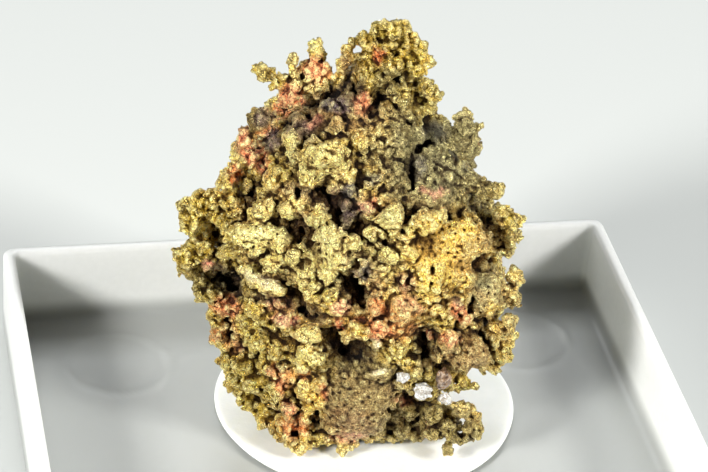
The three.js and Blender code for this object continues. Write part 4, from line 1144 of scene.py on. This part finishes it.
def make_disc():
    middle = Vector(((disc_high.x + disc_low.x) / 2, (disc_high.y + disc_low.y) / 2, 0)) / MM
    radius = (disc_high.x - disc_low.x) / 2 / MM
    bottom = disc_low.z / MM
    top = disc_high.z / MM
    thick = top - bottom
    section = [(share * radius, bottom + 0.01) for share in (0.1, 0.5, 0.9, 0.965)]
    for bend in np.linspace(-math.pi / 2, math.pi / 2, EDGE_STEPS):
        reach = 0.975 + 0.025 * math.cos(bend) ** 0.8
        section.append((radius * reach, bottom + thick * (0.5 + 0.5 * math.sin(bend))))
    section += [(share * radius, top) for share in np.linspace(0.96, 0.02, TOP_STEPS)]
    angles = np.linspace(0, 2 * math.pi, DISC_SIDES, endpoint=False)
    round_about = np.stack((np.cos(angles), np.sin(angles), np.zeros(DISC_SIDES)), axis=1)
    wobble = 1 + smooth_noise(3 * round_about, 1.4, 5)[:, None]
    loops = []
    for reach, height in section:
        ring = reach * round_about + (0, 0, height)
        dent = smooth_noise(ring, 2.4, 6) + 0.4 * smooth_noise(ring, 0.9, 7)
        ring[:, :2] *= 1 - EDGE_WOBBLE * wobble * (reach / radius)
        if height > bottom + 0.6 * thick:
            ring[:, 2] += TOP_DENTS * (dent - 1)
        loops.append([middle + Vector(point) for point in ring])
    disc = lofted("pressed_tack", loops)
    disc.data.materials.append(tack_material())
    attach(disc, "root")
    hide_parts("tack_disc")


# ---- The quartz grains ----
GRAIN_STEP = 0.04
GRAIN_MARGIN = 0.3
CHIPS = 9
LEDGES = 3


def quartz_material(name, clear, dull, milky):
    n = Material(name)
    place = n.place(1 / MM)
    crack = n.cells(n.bent(place, 2.0, 0.5), 1.7, "DISTANCE_TO_EDGE")
    stained = n.mix(n.spread(n.noise(place, 1.4, 4.0, 0.6), 0.42, 0.56), dull, clear)
    return n.finished({
        "Base Color": n.shade(stained, 0.7, crack, 0.0, 0.06, (0.4, 0.33, 0.28), WHITE),
        "Roughness": n.spread(n.noise(place, 3.0, 3.0), 0.35, 0.65, 0.05, 0.3),
        "Normal": n.bump(n.noise(place, 4.0, 3.0), 0.4, 0.00006),
        "Transmission Weight": 1 - milky,
        "IOR": 1.54,
    })


def grain_field(node, random):
    """A broken crystal: its CAD solid with flat chips off it and ledges."""
    values, low = cad_field(node, GRAIN_STEP, GRAIN_MARGIN)
    lines = [np.arange(count) * GRAIN_STEP + start for count, start in zip(values.shape, low)]
    x, y, z = np.meshgrid(*lines, indexing="ij", sparse=True)
    solid = values < 0
    values = values - GRAIN_STEP
    for number in range(CHIPS + LEDGES):
        way = random.normal(size=3)
        way /= np.linalg.norm(way)
        side = x * way[0] + y * way[1] + z * way[2]
        far = side[solid].max()
        thick = far - side[solid].min()
        if number < CHIPS:
            values = np.maximum(values, side - far + random.uniform(0.03, 0.2) * thick)
        else:
            values = values + 0.025 * np.sign(np.sin(side * random.uniform(7, 16)))
    return Field(values.astype(np.float32), low, GRAIN_STEP)


def make_grains():
    white = quartz_material("milky_quartz", clear=(0.8, 0.81, 0.8), dull=(0.42, 0.38, 0.32), milky=0.5)
    brown = quartz_material(
        "brown_quartz", clear=linear(152, 122, 94), dull=linear(84, 62, 48), milky=0.75
    )
    for seed, (name, node, slot, material) in enumerate((
        ("quartz_crystal_large", "quartz_grain_large", "quartz", white),
        ("quartz_crystal_small", "quartz_grain_small", "quartz", white),
        ("quartz_crystal_upper", "quartz_grain_upper", "quartz", white),
        ("quartz_crystal_brown", "quartz_prism_brown", "brown_quartz", brown),
    )):
        points, triangles = surface_of(grain_field(node, np.random.default_rng(SEED + 90 + seed)))
        settle(mesh_from(name, *largest_part(points, triangles)), material, node)


make_tray()
make_disc()
make_grains()


# ---- Floor, light and camera ----
FLOOR_HEIGHT = -0.03 * MM


def make_floor():
    half = 3.0
    mesh = bpy.data.meshes.new("floor")
    corners = [(-half, -half), (half, -half), (half, half), (-half, half)]
    mesh.from_pydata([(x, y, FLOOR_HEIGHT) for x, y in corners], [], [(0, 1, 2, 3)])
    n = Material("pale_floor")
    colour = n.mix(n.noise(n.place(1), 6.0, 2.0), (0.53, 0.55, 0.54), (0.54, 0.56, 0.55))
    mesh.materials.append(n.finished({"Base Color": colour, "Roughness": 0.6}))
    floor = add_object("floor", mesh)


def softbox(name, place, target, size, power, colour):
    light = bpy.data.lights.new(name, "AREA")
    light.shape = "RECTANGLE"
    light.size, light.size_y = size
    light.energy = power
    light.color = colour
    lamp = add_object(name, light)
    lamp.location = place
    lamp.rotation_euler = (Vector(place) - Vector(target)).to_track_quat("Z", "Y").to_euler()


def make_lights():
    middle = PLACE + Vector((0, 0, 0.015))
    softbox("softbox_left", (-0.38, -0.25, 0.25), middle, (0.11, 0.11), 4.1, (1.0, 0.985, 0.95))
    softbox("softbox_right", (0.34, -0.29, 0.25), middle, (0.11, 0.11), 3.4, (1.0, 0.985, 0.95))
    softbox("softbox_back", (0.04, 0.36, 0.42), (0.05, 0.14, 0), (0.40, 0.20), 1.4, (0.96, 0.985, 1.0))
    world = bpy.data.worlds.new("studio")
    world.use_nodes = True
    background = world.node_tree.nodes["Background"]
    background.inputs["Color"].default_value = (0.93, 0.98, 1.0, 1.0)
    background.inputs["Strength"].default_value = 0.12
    bpy.context.scene.world = world


CAMERA_PLACE = Vector((-48.295, -202.045, 158.453)) * MM
CAMERA_DOWN = math.radians(32.555)
CAMERA_TURN = math.radians(12.91)
CAMERA_ROLL = math.radians(4.137)
CAMERA_LENS = 151.51


def make_camera():
    data = bpy.data.cameras.new("camera")
    data.sensor_width = 36
    data.lens = CAMERA_LENS
    data.clip_start = 0.01
    data.clip_end = 20
    camera = add_object("camera", data)
    ahead = Vector((
        math.sin(CAMERA_TURN) * math.cos(CAMERA_DOWN),
        math.cos(CAMERA_TURN) * math.cos(CAMERA_DOWN),
        -math.sin(CAMERA_DOWN),
    ))
    level = ahead.cross(Vector((0, 0, 1))).normalized()
    upright = level.cross(ahead)
    right = level * math.cos(CAMERA_ROLL) + upright * math.sin(CAMERA_ROLL)
    up = upright * math.cos(CAMERA_ROLL) - level * math.sin(CAMERA_ROLL)
    turn = Matrix((right, up, -ahead)).transposed().to_4x4()
    camera.matrix_world = Matrix.Translation(CAMERA_PLACE) @ turn
    bpy.context.scene.camera = camera


make_floor()
make_lights()
make_camera()
bpy.context.scene.view_settings.view_transform = "Standard"
